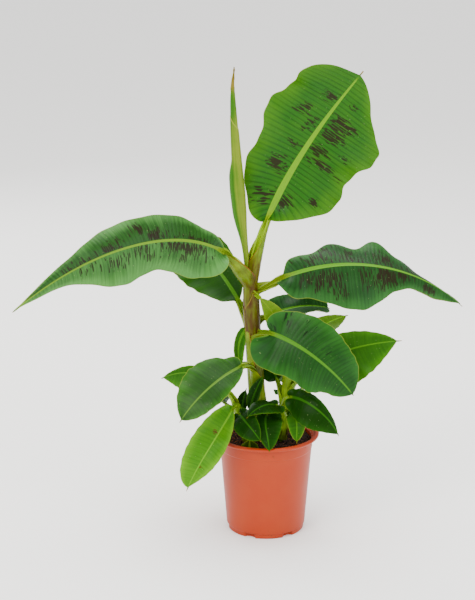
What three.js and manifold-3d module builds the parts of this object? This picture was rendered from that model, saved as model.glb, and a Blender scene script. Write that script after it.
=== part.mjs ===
// A potted dwarf banana plant: a leaning pseudostem with a rolled new leaf, two suckers, broad leaves
// on channelled stalks, and a plastic nursery pot filled with potting soil.
// Millimetres, +Z up. The origin is the middle of the pot's flat underside, and the front is -Y.
import * as THREE from 'three';
import { mergeVertices } from 'three/addons/utils/BufferGeometryUtils.js';
import Module from 'manifold-3d';

const wasm = await Module();
wasm.setup();

// Driving dimensions

const GAP = 0.3; // clearance between neighbouring solids

const POT = {
  height: 180,
  rimRadius: 95,
  lipHeight: 6,
  mouthRadius: 87.5,
  shoulderRadius: 84.5, // outside of the wall under the lip
  heelRadius: 70.5, // outside of the wall at the bottom
  wall: 2.5,
  floor: 9.5,
  stepDrop: 28, // from the rim down to the step round the wall
  stepProud: 0.8,
  footRadius: 68.5,
  footHeight: 8,
  notches: 6,
  notchWidth: 20,
  notchDepth: 7,
  firstNotch: 35, // degrees round from the front, to the right
  sides: 48,
};

const SOIL = { top: 165, floorGap: 1 };

// Each stem stands on the soil. `lean` is its sideways run for each millimetre of height, and
// `girth` lists the radius at even steps up the stem.
const STEMS = {
  main: { name: 'pseudostem', foot: [-11, 0], top: 478, lean: [-0.064, 0], girth: [16, 14, 13, 13, 14.5, 11.5] },
  left: { name: 'left_sucker', foot: [-33, -10], top: 248, lean: [-0.28, -0.15], girth: [8.5, 7.5, 6.5] },
  right: { name: 'right_sucker', foot: [28, -6], top: 282, lean: [0.09, 0.06], girth: [9, 8.5, 9, 8] },
};
const STEM_SIDES = 14;

// The new leaf is still rolled into a spear. `girth` lists its radius at even steps.
const SPEAR = {
  name: 'rolled_leaf',
  length: 356,
  heading: 165,
  rise: 82.5,
  fall: 88,
  girth: [7.5, 8.5, 11, 12.5, 12, 10, 8.5, 7, 4.5, 2.5, 1],
  aside: [-1.5, 1],
};

// Every leaf grows from a stem at the height `foot`. Its rib sets off at the compass `heading`
// (degrees from +X towards +Y) and the angle `rise` above level, and bends to `fall` at the tip; `ease`
// below 1 bends early. `swing` is how far the heading turns on the way.
// Pairs are [left side, right side], seen along the rib from the stem with the upper side up.
// `width` is each half's greatest reach from the rib, `base` and `point` shape its two ends: small
// numbers are blunt. `scallop`, `lobes` and `shift` wave the outline, `ruffle`, `waves` and `phase`
// wave the margin up and down, and `fold` and `curl` (degrees, [at the base, at the tip]) lift it.
// `facing` is where the upper side looks, at the base and at the tip.
const DEFAULTS = {
  aside: [0, 0],
  swing: 0,
  ease: 1,
  base: [0.45, 0.45],
  point: [0.7, 0.7],
  scallop: [0, 0],
  lobes: [2, 2],
  shift: [0, 0],
  ruffle: [0, 0],
  waves: [2, 2],
  phase: [0, 0],
  fold: [[8, 8], [8, 8]],
  curl: [[0, 0], [0, 0]],
  auricle: -40, // degrees that the first veins sweep back
  sweep: [10, 15], // degrees that the veins lean forward, at the middle and at the tip
};

const LEAVES = [
  {
    name: 'leaf_tall', stem: 'main', foot: 470, aside: [6, 3],
    heading: 25, swing: -44, rise: 97, fall: 51, ease: 0.32,
    petiole: 100, blade: 300, stalk: [15, 9], facing: [[-0.2, -1, 0.3], [0.4, -0.9, 0.1]],
    width: [96, 109], base: [0.47, 0.9], point: [0.2, 0.75],
    scallop: [0.07, 0.14], lobes: [3.1, 2.5], shift: [0.45, 0.6],
    ruffle: [12, 16], waves: [2.2, 2.6], phase: [0.3, 0.1],
    fold: [[4, 4], [4, 4]], curl: [[8, 8], [-6, -6]], auricle: -62, sweep: [0, -5],
  },
  {
    name: 'leaf_left', stem: 'main', foot: 442, aside: [-3, -5],
    heading: -133, swing: -26, rise: 98, fall: -36, ease: 0.45,
    petiole: 105, blade: 420, stalk: [20, 10], facing: [[0.3, -1, 0.4], [0.4, -1.2, 0.1]],
    width: [62, 47], base: [0.54, 0.8], point: [1.37, 1.55],
    scallop: [0.2, 0], lobes: [2.1, 2], shift: [0.08, 0],
    ruffle: [8, 10], waves: [2, 2.3], phase: [0.2, 0.6],
    fold: [[-4, 20], [-10, 20]], curl: [[-20, -20], [-30, -30]], auricle: -50, sweep: [14, 20],
  },
  {
    name: 'leaf_right', stem: 'main', foot: 427,
    heading: 4, swing: 25, rise: 47, fall: -42, ease: 0.68,
    petiole: 65, blade: 375, stalk: [16, 9], facing: [[0.1, -1, 0.9], [0.3, 0, 1]],
    width: [60, 74], base: [0.87, 0.2], point: [1.05, 1.05],
    scallop: [0.17, 0.33], lobes: [4.9, 1.7], shift: [0.86, 0.57],
    ruffle: [8, 8], waves: [2.2, 1.6], phase: [0.1, 0.5],
    fold: [[6, 0], [-10, -35]], curl: [[-22, -22], [-25, -25]], auricle: -50, sweep: [7, 25],
  },
  {
    name: 'leaf_back_left', stem: 'main', foot: 349,
    heading: 133, rise: 75, fall: 17, ease: 0.67,
    petiole: 75, blade: 168, stalk: [13, 8], facing: [[0, -1, 0.9], [-0.2, -0.6, 0.9]],
    width: [70, 43], base: [0.7, 0.8], point: [0.45, 0.45], ruffle: [6, 6], auricle: -35, sweep: [6, 20],
  },
  {
    name: 'leaf_back_right', stem: 'main', foot: 382,
    heading: 36, swing: -15, rise: 14, fall: -19, ease: 1.8,
    petiole: 33, blade: 125, stalk: [10, 7], facing: [[-0.2, -0.9, 0.9], [-0.1, -0.9, 0.9]],
    width: [31, 43], base: [0.4, 0.45], point: [0.5, 0.5], ruffle: [3, 4],
    fold: [[10, 10], [20, 20]], curl: [[0, 0], [40, 40]],
  },
  {
    name: 'leaf_back', stem: 'main', foot: 262,
    heading: 95, swing: -60, rise: 30, fall: -60,
    petiole: 55, blade: 165, stalk: [11, 7], facing: [[-0.1, 0.5, 1], [0.1, 0.8, 0.6]],
    width: [42, 42], base: [0.45, 0.45], point: [0.6, 0.6], ruffle: [4, 4],
  },
  {
    name: 'leaf_young', stem: 'main', foot: 442, aside: [2, -9],
    heading: -12, swing: 12, rise: -20, fall: -64, ease: 0.4,
    petiole: 18, blade: 80, stalk: [8, 5], facing: [[-0.3, -1, 0.3], [-0.4, -1, 0.5]],
    width: [19, 20], base: [1, 1], point: [0.55, 0.55], auricle: -10, sweep: [5, 10],
  },
  {
    name: 'leaf_front_right', stem: 'main', foot: 360,
    heading: -48, swing: 59, rise: 80, fall: -54, ease: 0.29,
    petiole: 46, blade: 185, stalk: [14, 8], facing: [[-0.4, -1, 0.5], [-0.5, -1, 0.8]],
    width: [62, 64], base: [0.38, 0.2], point: [0.68, 0.64],
    scallop: [-0.03, 0.07], lobes: [2, 2.2], shift: [0.07, 0.13], ruffle: [5, 6], waves: [2, 2.4],
    fold: [[4, 4], [4, 4]], curl: [[-16, -16], [-16, -16]], auricle: -62, sweep: [24, 4],
  },
  {
    name: 'leaf_front_left', stem: 'main', foot: 247,
    heading: -87, swing: -78, rise: 112, fall: -56, ease: 0.57,
    petiole: 130, blade: 156, stalk: [9, 7], facing: [[-0.2, -1, 0.9], [-0.2, -1, 0.9]],
    width: [34, 52], base: [0.85, 0.65], point: [0.75, 0.85],
    fold: [[5, 5], [5, 5]], curl: [[-14, -14], [-14, -14]],
  },
  {
    name: 'leaf_narrow', stem: 'main', foot: 378,
    heading: 180, rise: 4, fall: -104, ease: 0.41,
    petiole: 13, blade: 69, stalk: [8, 6], facing: [[-0.4, -1, 0.2], [-0.4, -1, 0.2]],
    width: [13, 10], base: [0.43, 0.28], point: [0.46, 0.6], fold: [[15, 15], [15, 15]],
  },
  {
    name: 'left_sucker_leaf_hanging', stem: 'left', foot: 240,
    heading: -98, swing: -90, rise: 48, fall: -68, ease: 0.26,
    petiole: 22, blade: 170, stalk: [8, 5], facing: [[-0.1, -1, 0.2], [-0.1, -1, 0.2]],
    width: [27, 37], base: [1.1, 0.6], point: [1.05, 0.6],
  },
  {
    name: 'left_sucker_leaf_side', stem: 'left', foot: 225,
    heading: 156, swing: 22, rise: 79, fall: -25, ease: 0.8,
    petiole: 56, blade: 111, stalk: [8, 5], facing: [[0, -0.8, 0.9], [0, -0.7, 1]],
    width: [50, 16], point: [0.95, 0.85],
  },
  {
    name: 'left_sucker_leaf_back', stem: 'left', foot: 214,
    heading: 145, swing: -55, rise: 35, fall: -50,
    petiole: 40, blade: 120, stalk: [8, 5], facing: [[-0.2, 0.5, 1], [-0.2, 0.8, 0.6]],
    width: [30, 30],
  },
  {
    name: 'left_sucker_leaf_front', stem: 'left', foot: 200,
    heading: -122, swing: 100, rise: 101, fall: -54, ease: 0.55,
    petiole: 48, blade: 73, stalk: [8, 5], facing: [[-0.2, -1, 0.6], [-0.2, -1, 0.6]],
    width: [20, 25], base: [0.37, 0.52], point: [0.75, 0.7], fold: [[4, 4], [4, 4]], curl: [[-20, -20], [-20, -20]],
  },
  {
    name: 'left_sucker_leaf_upright', stem: 'left', foot: 191,
    heading: 121, swing: -76, rise: 67, fall: 61,
    petiole: 30, blade: 38, stalk: [6, 4], facing: [[0, -1, 0.5], [0, -1, 0.5]],
    width: [11, 9], point: [0.8, 0.8],
  },
  {
    name: 'right_sucker_leaf_side', stem: 'right', foot: 248,
    heading: 2, swing: 6, rise: 109, fall: 2, ease: 0.29,
    petiole: 57, blade: 175, stalk: [11, 6], facing: [[-0.1, -1, 0.7], [-0.1, -1, 0.7]],
    width: [34, 67], base: [0.48, 0.5], point: [0.84, 1],
  },
  {
    name: 'right_sucker_leaf_back', stem: 'right', foot: 263,
    heading: 37, swing: -42, rise: 93, fall: 16, ease: 0.78,
    petiole: 79, blade: 99, stalk: [9, 5], facing: [[-0.2, 1, 0.4], [-0.2, 1, 0.3]],
    width: [33, 22], base: [0.5, 0.4], point: [0.8, 1], fold: [[14, 14], [14, 14]],
  },
  {
    name: 'right_sucker_leaf_inner', stem: 'right', foot: 229,
    heading: 152, swing: -21, rise: 77, fall: 42,
    petiole: 49, blade: 60, stalk: [7, 5], facing: [[0.2, -1, 0.5], [0.2, -1, 0.5]],
    width: [25, 19], base: [0.43, 0.5], point: [0.73, 0.64],
  },
  {
    name: 'right_sucker_leaf_low', stem: 'right', foot: 200,
    heading: 82, rise: 55, fall: -75,
    petiole: 50, blade: 120, stalk: [8, 5], facing: [[0, 0.5, 1], [0, 0.8, 0.6]],
    width: [28, 28],
  },
  {
    name: 'right_sucker_leaf_crossing', stem: 'right', foot: 203,
    heading: -96, swing: -62, rise: 56, fall: -45, ease: 1.6,
    petiole: 53, blade: 75, stalk: [6, 5], facing: [[0.1, -0.7, 0.9], [0, -0.6, 1]],
    width: [25, 23], base: [0.4, 0.5], point: [1, 0.7],
    fold: [[6, 6], [-10, -10]], curl: [[0, 0], [-30, -30]],
  },
  {
    name: 'right_sucker_leaf_front', stem: 'right', foot: 215,
    heading: -90, swing: 94, rise: 104, fall: -66, ease: 0.6,
    petiole: 53, blade: 126, stalk: [9, 6], facing: [[-0.2, -1.1, 0.6], [-0.1, -1, 0.9]],
    width: [20, 39], base: [0.37, 0.57], point: [1, 0.85],
    fold: [[-4, -4], [-4, -4]], curl: [[-20, -20], [-20, -20]],
  },
  {
    name: 'right_sucker_leaf_small', stem: 'right', foot: 193,
    heading: -44, swing: -55, rise: 101, fall: -102, ease: 0.91,
    petiole: 45, blade: 74, stalk: [6, 4], facing: [[0, -1, 0.4], [0, -1, 0.4]],
    width: [19, 17], base: [0.42, 0.45], point: [0.78, 0.7], fold: [[20, 20], [0, 0]],
  },
  {
    name: 'right_sucker_leaf_rim', stem: 'right', foot: 192,
    heading: -151, swing: 96, rise: 70, fall: -84,
    petiole: 64, blade: 79, stalk: [8, 5], facing: [[0, -1, 0.5], [0.1, -1, 0.5]],
    width: [30, 18], base: [0.26, 0.43], point: [0.75, 0.74], curl: [[-10, -10], [-10, -10]],
  },
  {
    name: 'shoot_tall', foot: 165, aside: [-31, -24],
    heading: -20, swing: 20, rise: 97, fall: 61,
    petiole: 64, blade: 66, stalk: [9, 5], facing: [[-0.4, -1, 0.2], [-0.4, -1, 0.2]],
    width: [12, 13], base: [0.7, 0.7], point: [0.9, 0.9], fold: [[20, 20], [20, 20]],
  },
  {
    name: 'shoot_low', foot: 165, aside: [-30, -60],
    heading: -90, rise: 78, fall: 65,
    petiole: 6, blade: 20, stalk: [6, 5], facing: [[0, -1, 0.5], [0, -1, 0.5]],
    width: [16, 16], base: [0.15, 0.15], point: [1, 1], fold: [[10, 10], [10, 10]],
  },
];

const FINISH = {
  pot: { color: '#c8643f', roughness: 0.45 },
  soil: { color: '#3b2a1e', roughness: 1 },
  stem: { color: '#7d6a35', roughness: 0.6 },
  spear: { color: '#8fae4a', roughness: 0.5 },
  leaf: { color: '#3f7d32', roughness: 0.45 },
};

// Solids

const radians = THREE.MathUtils.degToRad;
const smooth = THREE.MathUtils.smoothstep;
const lerp = THREE.MathUtils.lerp;

function toSolid(geometry) {
  const bare = geometry.clone();
  bare.deleteAttribute('normal');
  bare.deleteAttribute('uv');
  const merged = mergeVertices(bare, 1e-4);
  const mesh = (turn) => {
    const triVerts = new Uint32Array(merged.index.array);
    for (let i = 0; turn && i < triVerts.length; i += 3) {
      [triVerts[i + 1], triVerts[i + 2]] = [triVerts[i + 2], triVerts[i + 1]];
    }
    const vertProperties = merged.attributes.position.array;
    return new wasm.Manifold(new wasm.Mesh({ numProp: 3, vertProperties, triVerts }));
  };
  const solid = mesh(false);
  return solid.volume() > 0 ? solid : mesh(true);
}

function toGeometry(solid) {
  const { vertProperties, triVerts } = solid.getMesh();
  const geometry = new THREE.BufferGeometry();
  geometry.setAttribute('position', new THREE.BufferAttribute(new Float32Array(vertProperties), 3));
  geometry.setIndex(new THREE.BufferAttribute(new Uint32Array(triVerts), 1));
  const flat = geometry.toNonIndexed();
  flat.computeVertexNormals();
  return flat;
}

function largestBody(solid) {
  return solid.decompose().sort((a, b) => b.volume() - a.volume())[0];
}

function addPiece(group, name, solid, finish) {
  const mesh = new THREE.Mesh(toGeometry(solid), new THREE.MeshStandardMaterial({ ...finish, metalness: 0 }));
  mesh.name = name;
  group.add(mesh);
}

// Skins a row of closed rings of points. Point i of a ring lies across from point n - 1 - i, so each
// end is closed by a strip between the two halves of its ring.
function loft(rings) {
  const n = rings[0].length;
  const position = rings.flat().flatMap((p) => [p.x, p.y, p.z]);
  const index = [];
  const quad = (a, b, c, d) => index.push(a, b, c, a, c, d);
  for (let r = 0; r + 1 < rings.length; r++) {
    for (let i = 0; i < n; i++) {
      const j = (i + 1) % n;
      quad(r * n + i, r * n + j, (r + 1) * n + j, (r + 1) * n + i);
    }
  }
  const last = (rings.length - 1) * n;
  for (let i = 0; i + 1 < n / 2; i++) {
    quad(i, n - 1 - i, n - 2 - i, i + 1);
    quad(last + i, last + i + 1, last + n - 2 - i, last + n - 1 - i);
  }
  const geometry = new THREE.BufferGeometry();
  geometry.setAttribute('position', new THREE.Float32BufferAttribute(position, 3));
  geometry.setIndex(index);
  return toSolid(geometry);
}

function lathe(outline, sides) {
  const geometry = new THREE.LatheGeometry(outline.map(([r, z]) => new THREE.Vector2(r, z)), sides);
  geometry.rotateX(Math.PI / 2);
  return toSolid(geometry);
}

// Pot and soil

function wallRadius(z) {
  return lerp(POT.heelRadius, POT.shoulderRadius, (z - POT.footHeight) / (POT.height - POT.lipHeight));
}

function potSolid() {
  const { height, rimRadius, footRadius, footHeight, mouthRadius, wall, floor } = POT;
  const lip = height - POT.lipHeight;
  const step = height - POT.stepDrop;
  const outline = [
    [0, 0],
    [footRadius, 0],
    [footRadius, footHeight],
    [wallRadius(footHeight), footHeight + 1],
    [wallRadius(step), step],
    [wallRadius(step) + POT.stepProud, step + 1],
    [wallRadius(lip) + POT.stepProud, lip],
    [rimRadius - 1.5, lip],
    [rimRadius, lip + 2],
    [rimRadius, height - 3.5],
    [rimRadius - 2.5, height],
    [mouthRadius + 2, height],
    [mouthRadius, height - 2],
    [mouthRadius - 1, lip],
    [wallRadius(lip) - wall, lip - 2],
    [wallRadius(floor) - wall, floor],
    [0, floor],
  ];
  const cuts = Array.from({ length: POT.notches }, (_, i) => {
    const notch = new THREE.CylinderGeometry(POT.notchWidth / 2, POT.notchWidth / 2, 4 * footHeight, 16);
    notch.rotateX(Math.PI / 2);
    notch.scale(1, POT.notchDepth / POT.notchWidth * 2, 1);
    notch.translate(0, -footRadius, footHeight - 0.5 - 2 * footHeight);
    notch.rotateZ(radians(POT.firstNotch + (360 / POT.notches) * i));
    return toSolid(notch);
  });
  return cuts.reduce((pot, cut) => pot.subtract(cut), lathe(outline, POT.sides));
}

function soilSolid() {
  const low = POT.floor + SOIL.floorGap;
  const inside = (z) => wallRadius(z) - POT.wall - GAP;
  return lathe([[0, low], [inside(low), low], [inside(SOIL.top), SOIL.top], [0, SOIL.top]], POT.sides);
}

// Stems

function stemPoint(stem, z) {
  const rise = z - SOIL.top;
  return new THREE.Vector3(stem.foot[0] + stem.lean[0] * rise, stem.foot[1] + stem.lean[1] * rise, z);
}

function ring(centre, along, radius, sides) {
  const u = new THREE.Vector3(0, 1, 0).cross(along).normalize();
  const v = along.clone().cross(u).normalize();
  return Array.from({ length: sides }, (_, i) => {
    const turn = ((i + 0.5) / sides) * 2 * Math.PI;
    return centre.clone().addScaledVector(u, radius * Math.cos(turn)).addScaledVector(v, radius * Math.sin(turn));
  });
}

function stemSolid(stem, grow = 0) {
  const up = new THREE.Vector3(0, 0, 1);
  const foot = SOIL.top + GAP - grow;
  const rings = stem.girth.map((radius, i) => {
    const z = lerp(foot, stem.top + grow, i / (stem.girth.length - 1));
    return ring(stemPoint(stem, z), up, radius + grow, STEM_SIDES);
  });
  return loft(rings);
}

// Ribs

// A line that sets off at `heading` and `rise` and bends steadily to `fall`.
function bentLine(foot, length, { heading, swing = 0, rise, fall, ease = 1 }) {
  const steps = 40;
  const direction = (t) => {
    const pitch = radians(rise + (fall - rise) * t ** ease);
    const turn = radians(heading + swing * t);
    return new THREE.Vector3(Math.cos(pitch) * Math.cos(turn), Math.cos(pitch) * Math.sin(turn), Math.sin(pitch));
  };
  const points = [foot.clone()];
  for (let i = 0; i < steps; i++) {
    const middle = direction((i + 0.5) / steps);
    points.push(points[i].clone().addScaledVector(middle, length / steps));
  }
  return new THREE.CatmullRomCurve3(points);
}

function leafFoot(leaf) {
  const onStem = leaf.stem ? stemPoint(STEMS[leaf.stem], leaf.foot) : new THREE.Vector3(0, 0, leaf.foot);
  return onStem.add(new THREE.Vector3(leaf.aside[0], leaf.aside[1], 0));
}

function spearSolid(grow = 0) {
  const stem = STEMS.main;
  const foot = stemPoint(stem, stem.top + GAP - 2 * grow).add(new THREE.Vector3(...SPEAR.aside, 0));
  const line = bentLine(foot, SPEAR.length, SPEAR);
  const steps = SPEAR.girth.length - 1;
  const rings = SPEAR.girth.map((radius, i) => {
    const along = i === 0 ? new THREE.Vector3(0, 0, 1) : line.getTangentAt(i / steps);
    return ring(line.getPointAt(i / steps), along, radius + grow, STEM_SIDES);
  });
  return loft(rings);
}

// Leaves

function halfOutline(leaf, side, u) {
  const base = leaf.base[side];
  const point = leaf.point[side];
  const widest = base / (base + point);
  const peak = widest ** base * (1 - widest) ** point;
  const wave = 1 + leaf.scallop[side] * Math.sin(2 * Math.PI * (leaf.lobes[side] * u + leaf.shift[side]));
  return (leaf.width[side] * wave * u ** base * (1 - u) ** point) / peak;
}

const CHANNEL = { fold: 30, curl: 45 }; // degrees that the stalk's two sides are turned up
const THINNEST = 0.8; // the thickness of the smallest leaves

// One closed ring round the leaf at the distance s along its rib: the upper side from the left margin
// to the right one, then the lower side back.
function leafRing(leaf, rib, s, across) {
  const length = leaf.petiole + leaf.blade;
  const u = THREE.MathUtils.clamp((s - leaf.petiole) / leaf.blade, 0, 1);
  const centre = rib.getPointAt(s / length);
  const along = rib.getTangentAt(s / length);
  const [atBase, atTip] = leaf.facing.map((d) => new THREE.Vector3(...d).normalize());
  const right = along.clone().cross(atBase.lerp(atTip, u)).normalize();
  const up = right.clone().cross(along).normalize();
  const neckRun = Math.min(30, leaf.petiole * 0.6);
  const neck = smooth(s, leaf.petiole - neckRun, leaf.petiole);
  const [middle, tip] = leaf.sweep;
  const sweep = radians(neck * (leaf.auricle * (1 - u) ** 6 + middle + (tip - middle) * u ** 4));
  const blade = smooth(u, 0, 0.12);
  const stalk = lerp(leaf.stalk[0], leaf.stalk[1], Math.min(1, s / leaf.petiole)) / 2;
  const ribHalf = stalk * lerp(1, 0.15, u);
  const sheet = Math.max(THINNEST, length / 95);
  const upper = [];
  const lower = [];
  for (let k = -across; k <= across; k++) {
    const side = k < 0 ? 0 : 1;
    const sign = k < 0 ? -1 : 1;
    const reach = Math.max(u > 0 ? halfOutline(leaf, side, u) : 0, s < leaf.petiole ? stalk : ribHalf, 1.2);
    const inner = Math.min(ribHalf / reach, 1 / across);
    const fraction = k === 0 ? 0 : lerp(inner, 1, (Math.abs(k) - 1) / (across - 1));
    const fold = radians(lerp(CHANNEL.fold, lerp(...leaf.fold[side], u), blade));
    const curl = radians(lerp(CHANNEL.curl, lerp(...leaf.curl[side], u), blade)) || 1e-4;
    const out = (reach * (Math.sin(fold + curl * fraction) - Math.sin(fold))) / curl;
    const lift = (reach * (Math.cos(fold) - Math.cos(fold + curl * fraction))) / curl;
    const wave = Math.sin(2 * Math.PI * (leaf.waves[side] * u + leaf.phase[side]));
    const ruffle = leaf.ruffle[side] * fraction ** 2 * wave * Math.sqrt(Math.sin(Math.PI * u));
    const point = centre.clone()
      .addScaledVector(along, out * Math.sin(sweep))
      .addScaledVector(right, sign * out * Math.cos(sweep))
      .addScaledVector(up, lift + ruffle);
    const tilt = k === 0 ? 0 : fold + curl * fraction;
    const bulge = Math.sqrt(Math.max(0, 1 - (fraction * reach / ribHalf) ** 2)) * ribHalf;
    const depth = sheet + bulge;
    upper.push(point);
    lower.push(point.clone()
      .addScaledVector(up, -depth * Math.cos(tilt))
      .addScaledVector(right, sign * depth * Math.sin(tilt)));
  }
  return [...upper, ...lower.reverse()];
}

function leafSolid(leaf) {
  const large = leaf.blade > 180;
  const across = large ? 3 : 2;
  const stalkSteps = large ? 5 : 4;
  const bladeSteps = large ? 15 : 9;
  const rib = bentLine(leafFoot(leaf), leaf.petiole + leaf.blade, leaf);
  const rings = [];
  for (let i = 0; i < stalkSteps; i++) {
    rings.push(leafRing(leaf, rib, (leaf.petiole * i) / stalkSteps, across));
  }
  for (let i = 0; i <= bladeSteps; i++) {
    const t = i / bladeSteps;
    const even = lerp(t, (1 - Math.cos(Math.PI * t)) / 2, 0.6);
    rings.push(leafRing(leaf, rib, leaf.petiole + leaf.blade * even, across));
  }
  return loft(rings);
}

// The plant

const plant = new THREE.Group();
addPiece(plant, 'pot', potSolid(), FINISH.pot);
addPiece(plant, 'potting_soil', soilSolid(), FINISH.soil);
for (const stem of Object.values(STEMS)) {
  addPiece(plant, stem.name, stemSolid(stem), FINISH.stem);
}
addPiece(plant, SPEAR.name, spearSolid(), FINISH.spear);

const clear = [...Object.values(STEMS).map((stem) => stemSolid(stem, GAP)), spearSolid(GAP)];
const ground = toSolid(new THREE.BoxGeometry(400, 400, 200).translate(0, 0, SOIL.top + GAP - 100));
for (const entry of LEAVES) {
  const leaf = { ...DEFAULTS, ...entry };
  const cutters = leaf.stem ? clear : [ground, ...clear];
  const cut = cutters.reduce((solid, cutter) => solid.subtract(cutter), leafSolid(leaf));
  addPiece(plant, leaf.name, largestBody(cut), FINISH.leaf);
}

export default plant;
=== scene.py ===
"""A potted dwarf banana plant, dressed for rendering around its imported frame.

Sizes are in millimetres and become metres where a mesh is made. +Z is up and the front is -Y.
"""

import logging
import math
from dataclasses import dataclass
from enum import Enum

import bpy
import numpy as np
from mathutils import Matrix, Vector

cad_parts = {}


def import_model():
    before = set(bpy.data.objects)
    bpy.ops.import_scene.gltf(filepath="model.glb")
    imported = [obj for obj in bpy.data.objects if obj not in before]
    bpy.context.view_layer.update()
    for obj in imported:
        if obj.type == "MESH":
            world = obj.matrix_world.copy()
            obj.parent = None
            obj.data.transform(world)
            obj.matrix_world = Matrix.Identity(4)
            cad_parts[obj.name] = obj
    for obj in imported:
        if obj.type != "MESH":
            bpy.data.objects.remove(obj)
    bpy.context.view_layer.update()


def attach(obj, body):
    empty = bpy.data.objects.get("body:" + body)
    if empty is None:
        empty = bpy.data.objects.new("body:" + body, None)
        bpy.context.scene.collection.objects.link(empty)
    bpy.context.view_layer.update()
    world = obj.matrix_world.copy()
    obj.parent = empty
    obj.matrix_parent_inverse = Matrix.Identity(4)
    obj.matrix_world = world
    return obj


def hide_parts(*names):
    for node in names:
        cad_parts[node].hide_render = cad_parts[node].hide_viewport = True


LOG = logging.getLogger("banana_plant")
MM = 0.001
SOIL_TOP = 165.0
GAP = 0.3

Pair = tuple[float, float]
Colour = tuple[float, float, float, float]
Node = bpy.types.Node
Tree = bpy.types.NodeTree
Material = bpy.types.Material
Piece = bpy.types.Object


# Helpers


def linear(hex_colour: str) -> Colour:
    """Turn an sRGB hex colour into the linear colour that shaders take.

    Args:
        hex_colour: six hexadecimal digits.

    Returns:
        Red, green, blue and an alpha of 1.
    """
    parts = [int(hex_colour[i:i + 2], 16) / 255 for i in (0, 2, 4)]
    red, green, blue = (p / 12.92 if p <= 0.04045 else ((p + 0.055) / 1.055) ** 2.4 for p in parts)
    return red, green, blue, 1.0


def feed(made: Node, inputs: dict) -> None:
    """Set or link a node's inputs.

    Args:
        made: the node.
        inputs: for an input's name or number, a value, an output, or a node whose first output feeds it.
    """
    for key, value in inputs.items():
        if isinstance(value, Node):
            value = value.outputs[0]
        if isinstance(value, bpy.types.NodeSocket):
            made.id_data.links.new(value, made.inputs[key])
        else:
            made.inputs[key].default_value = value


def node(tree: Tree, kind: str, inputs: dict | None = None, **settings: object) -> Node:
    """Add a node to a tree.

    Args:
        tree: the tree that gets the node.
        kind: the node's type.
        inputs: what `feed` gives its inputs.
        settings: the node's own properties.

    Returns:
        The new node.
    """
    made = tree.nodes.new(kind)
    for name, value in settings.items():
        setattr(made, name, value)
    feed(made, inputs or {})
    return made


def start_material(name: str) -> tuple[Material, Tree, Node]:
    """Start a material.

    Args:
        name: the material's name.

    Returns:
        The material, its tree and its Principled shader.
    """
    made = bpy.data.materials.new(name)
    made.use_nodes = True
    return made, made.node_tree, made.node_tree.nodes["Principled BSDF"]


def add(name: str, data: bpy.types.ID) -> Piece:
    """Add an object to the scene.

    Args:
        name: the object's name.
        data: its mesh, light or camera.

    Returns:
        The new object.
    """
    made = bpy.data.objects.new(name, data)
    bpy.context.collection.objects.link(made)
    return made


def smooth(x: np.ndarray, low: float, high: float) -> np.ndarray:
    """Rise from 0 at low to 1 at high along an S-shaped curve."""
    t = np.clip((x - low) / (high - low), 0, 1)
    return t * t * (3 - 2 * t)


def unit(vectors: np.ndarray) -> np.ndarray:
    """Scale vectors to a length of 1."""
    return vectors / np.maximum(np.linalg.norm(vectors, axis=-1, keepdims=True), 1e-9)


def direction_of(pitch: np.ndarray, turn: np.ndarray | float) -> np.ndarray:
    """Give the directions at the angles pitch above level and turn round from +X."""
    level = np.cos(pitch)
    return np.stack([level * np.cos(turn), level * np.sin(turn), np.sin(pitch)], axis=-1)


def lumps(points: np.ndarray, size: float, seed: int) -> np.ndarray:
    """Give smooth random heights, about -1 to 1, as a sum of waves in random directions.

    Args:
        points: places, with two or three numbers in the last axis.
        size: about how far apart the lumps are.
        seed: picks the waves.

    Returns:
        One height for each place.
    """
    rng = np.random.default_rng(seed)
    count = 14
    ways = unit(rng.normal(size=(count, points.shape[-1])))
    lengths = size * rng.uniform(0.7, 1.6, count)
    turns = points @ (ways / lengths[:, None]).T + rng.uniform(0, 1, count)
    return np.sin(2 * math.pi * turns).sum(axis=-1) / math.sqrt(count)


def skin(rings: np.ndarray) -> np.ndarray:
    """Join a row of closed rings with four-sided faces.

    Point i of a ring lies across from point n - 1 - i, and a strip between them closes each end.

    Args:
        rings: places by ring, by point and by axis.

    Returns:
        The corner numbers of each face, turned so that faces point outwards.
    """
    count, n = rings.shape[:2]
    start = np.arange(count - 1)[:, None] * n
    i = np.arange(n)[None, :]
    j = (i + 1) % n
    sides = np.stack([start + i, start + j, start + n + j, start + n + i], axis=-1).reshape(-1, 4)
    k = np.arange(n // 2 - 1)
    last = (count - 1) * n
    first = np.stack([k, n - 1 - k, n - 2 - k, k + 1], axis=-1)
    end = np.stack([last + k, last + k + 1, last + n - 2 - k, last + n - 1 - k], axis=-1)
    faces = np.concatenate([sides, first, end])
    p = rings.reshape(-1, 3)
    a, b, c, d = (p[faces[:, corner]] for corner in range(4))
    volume = np.einsum("ij,ij->i", a, np.cross(b, c) + np.cross(c, d)).sum()
    return faces if volume > 0 else faces[:, ::-1]


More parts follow.
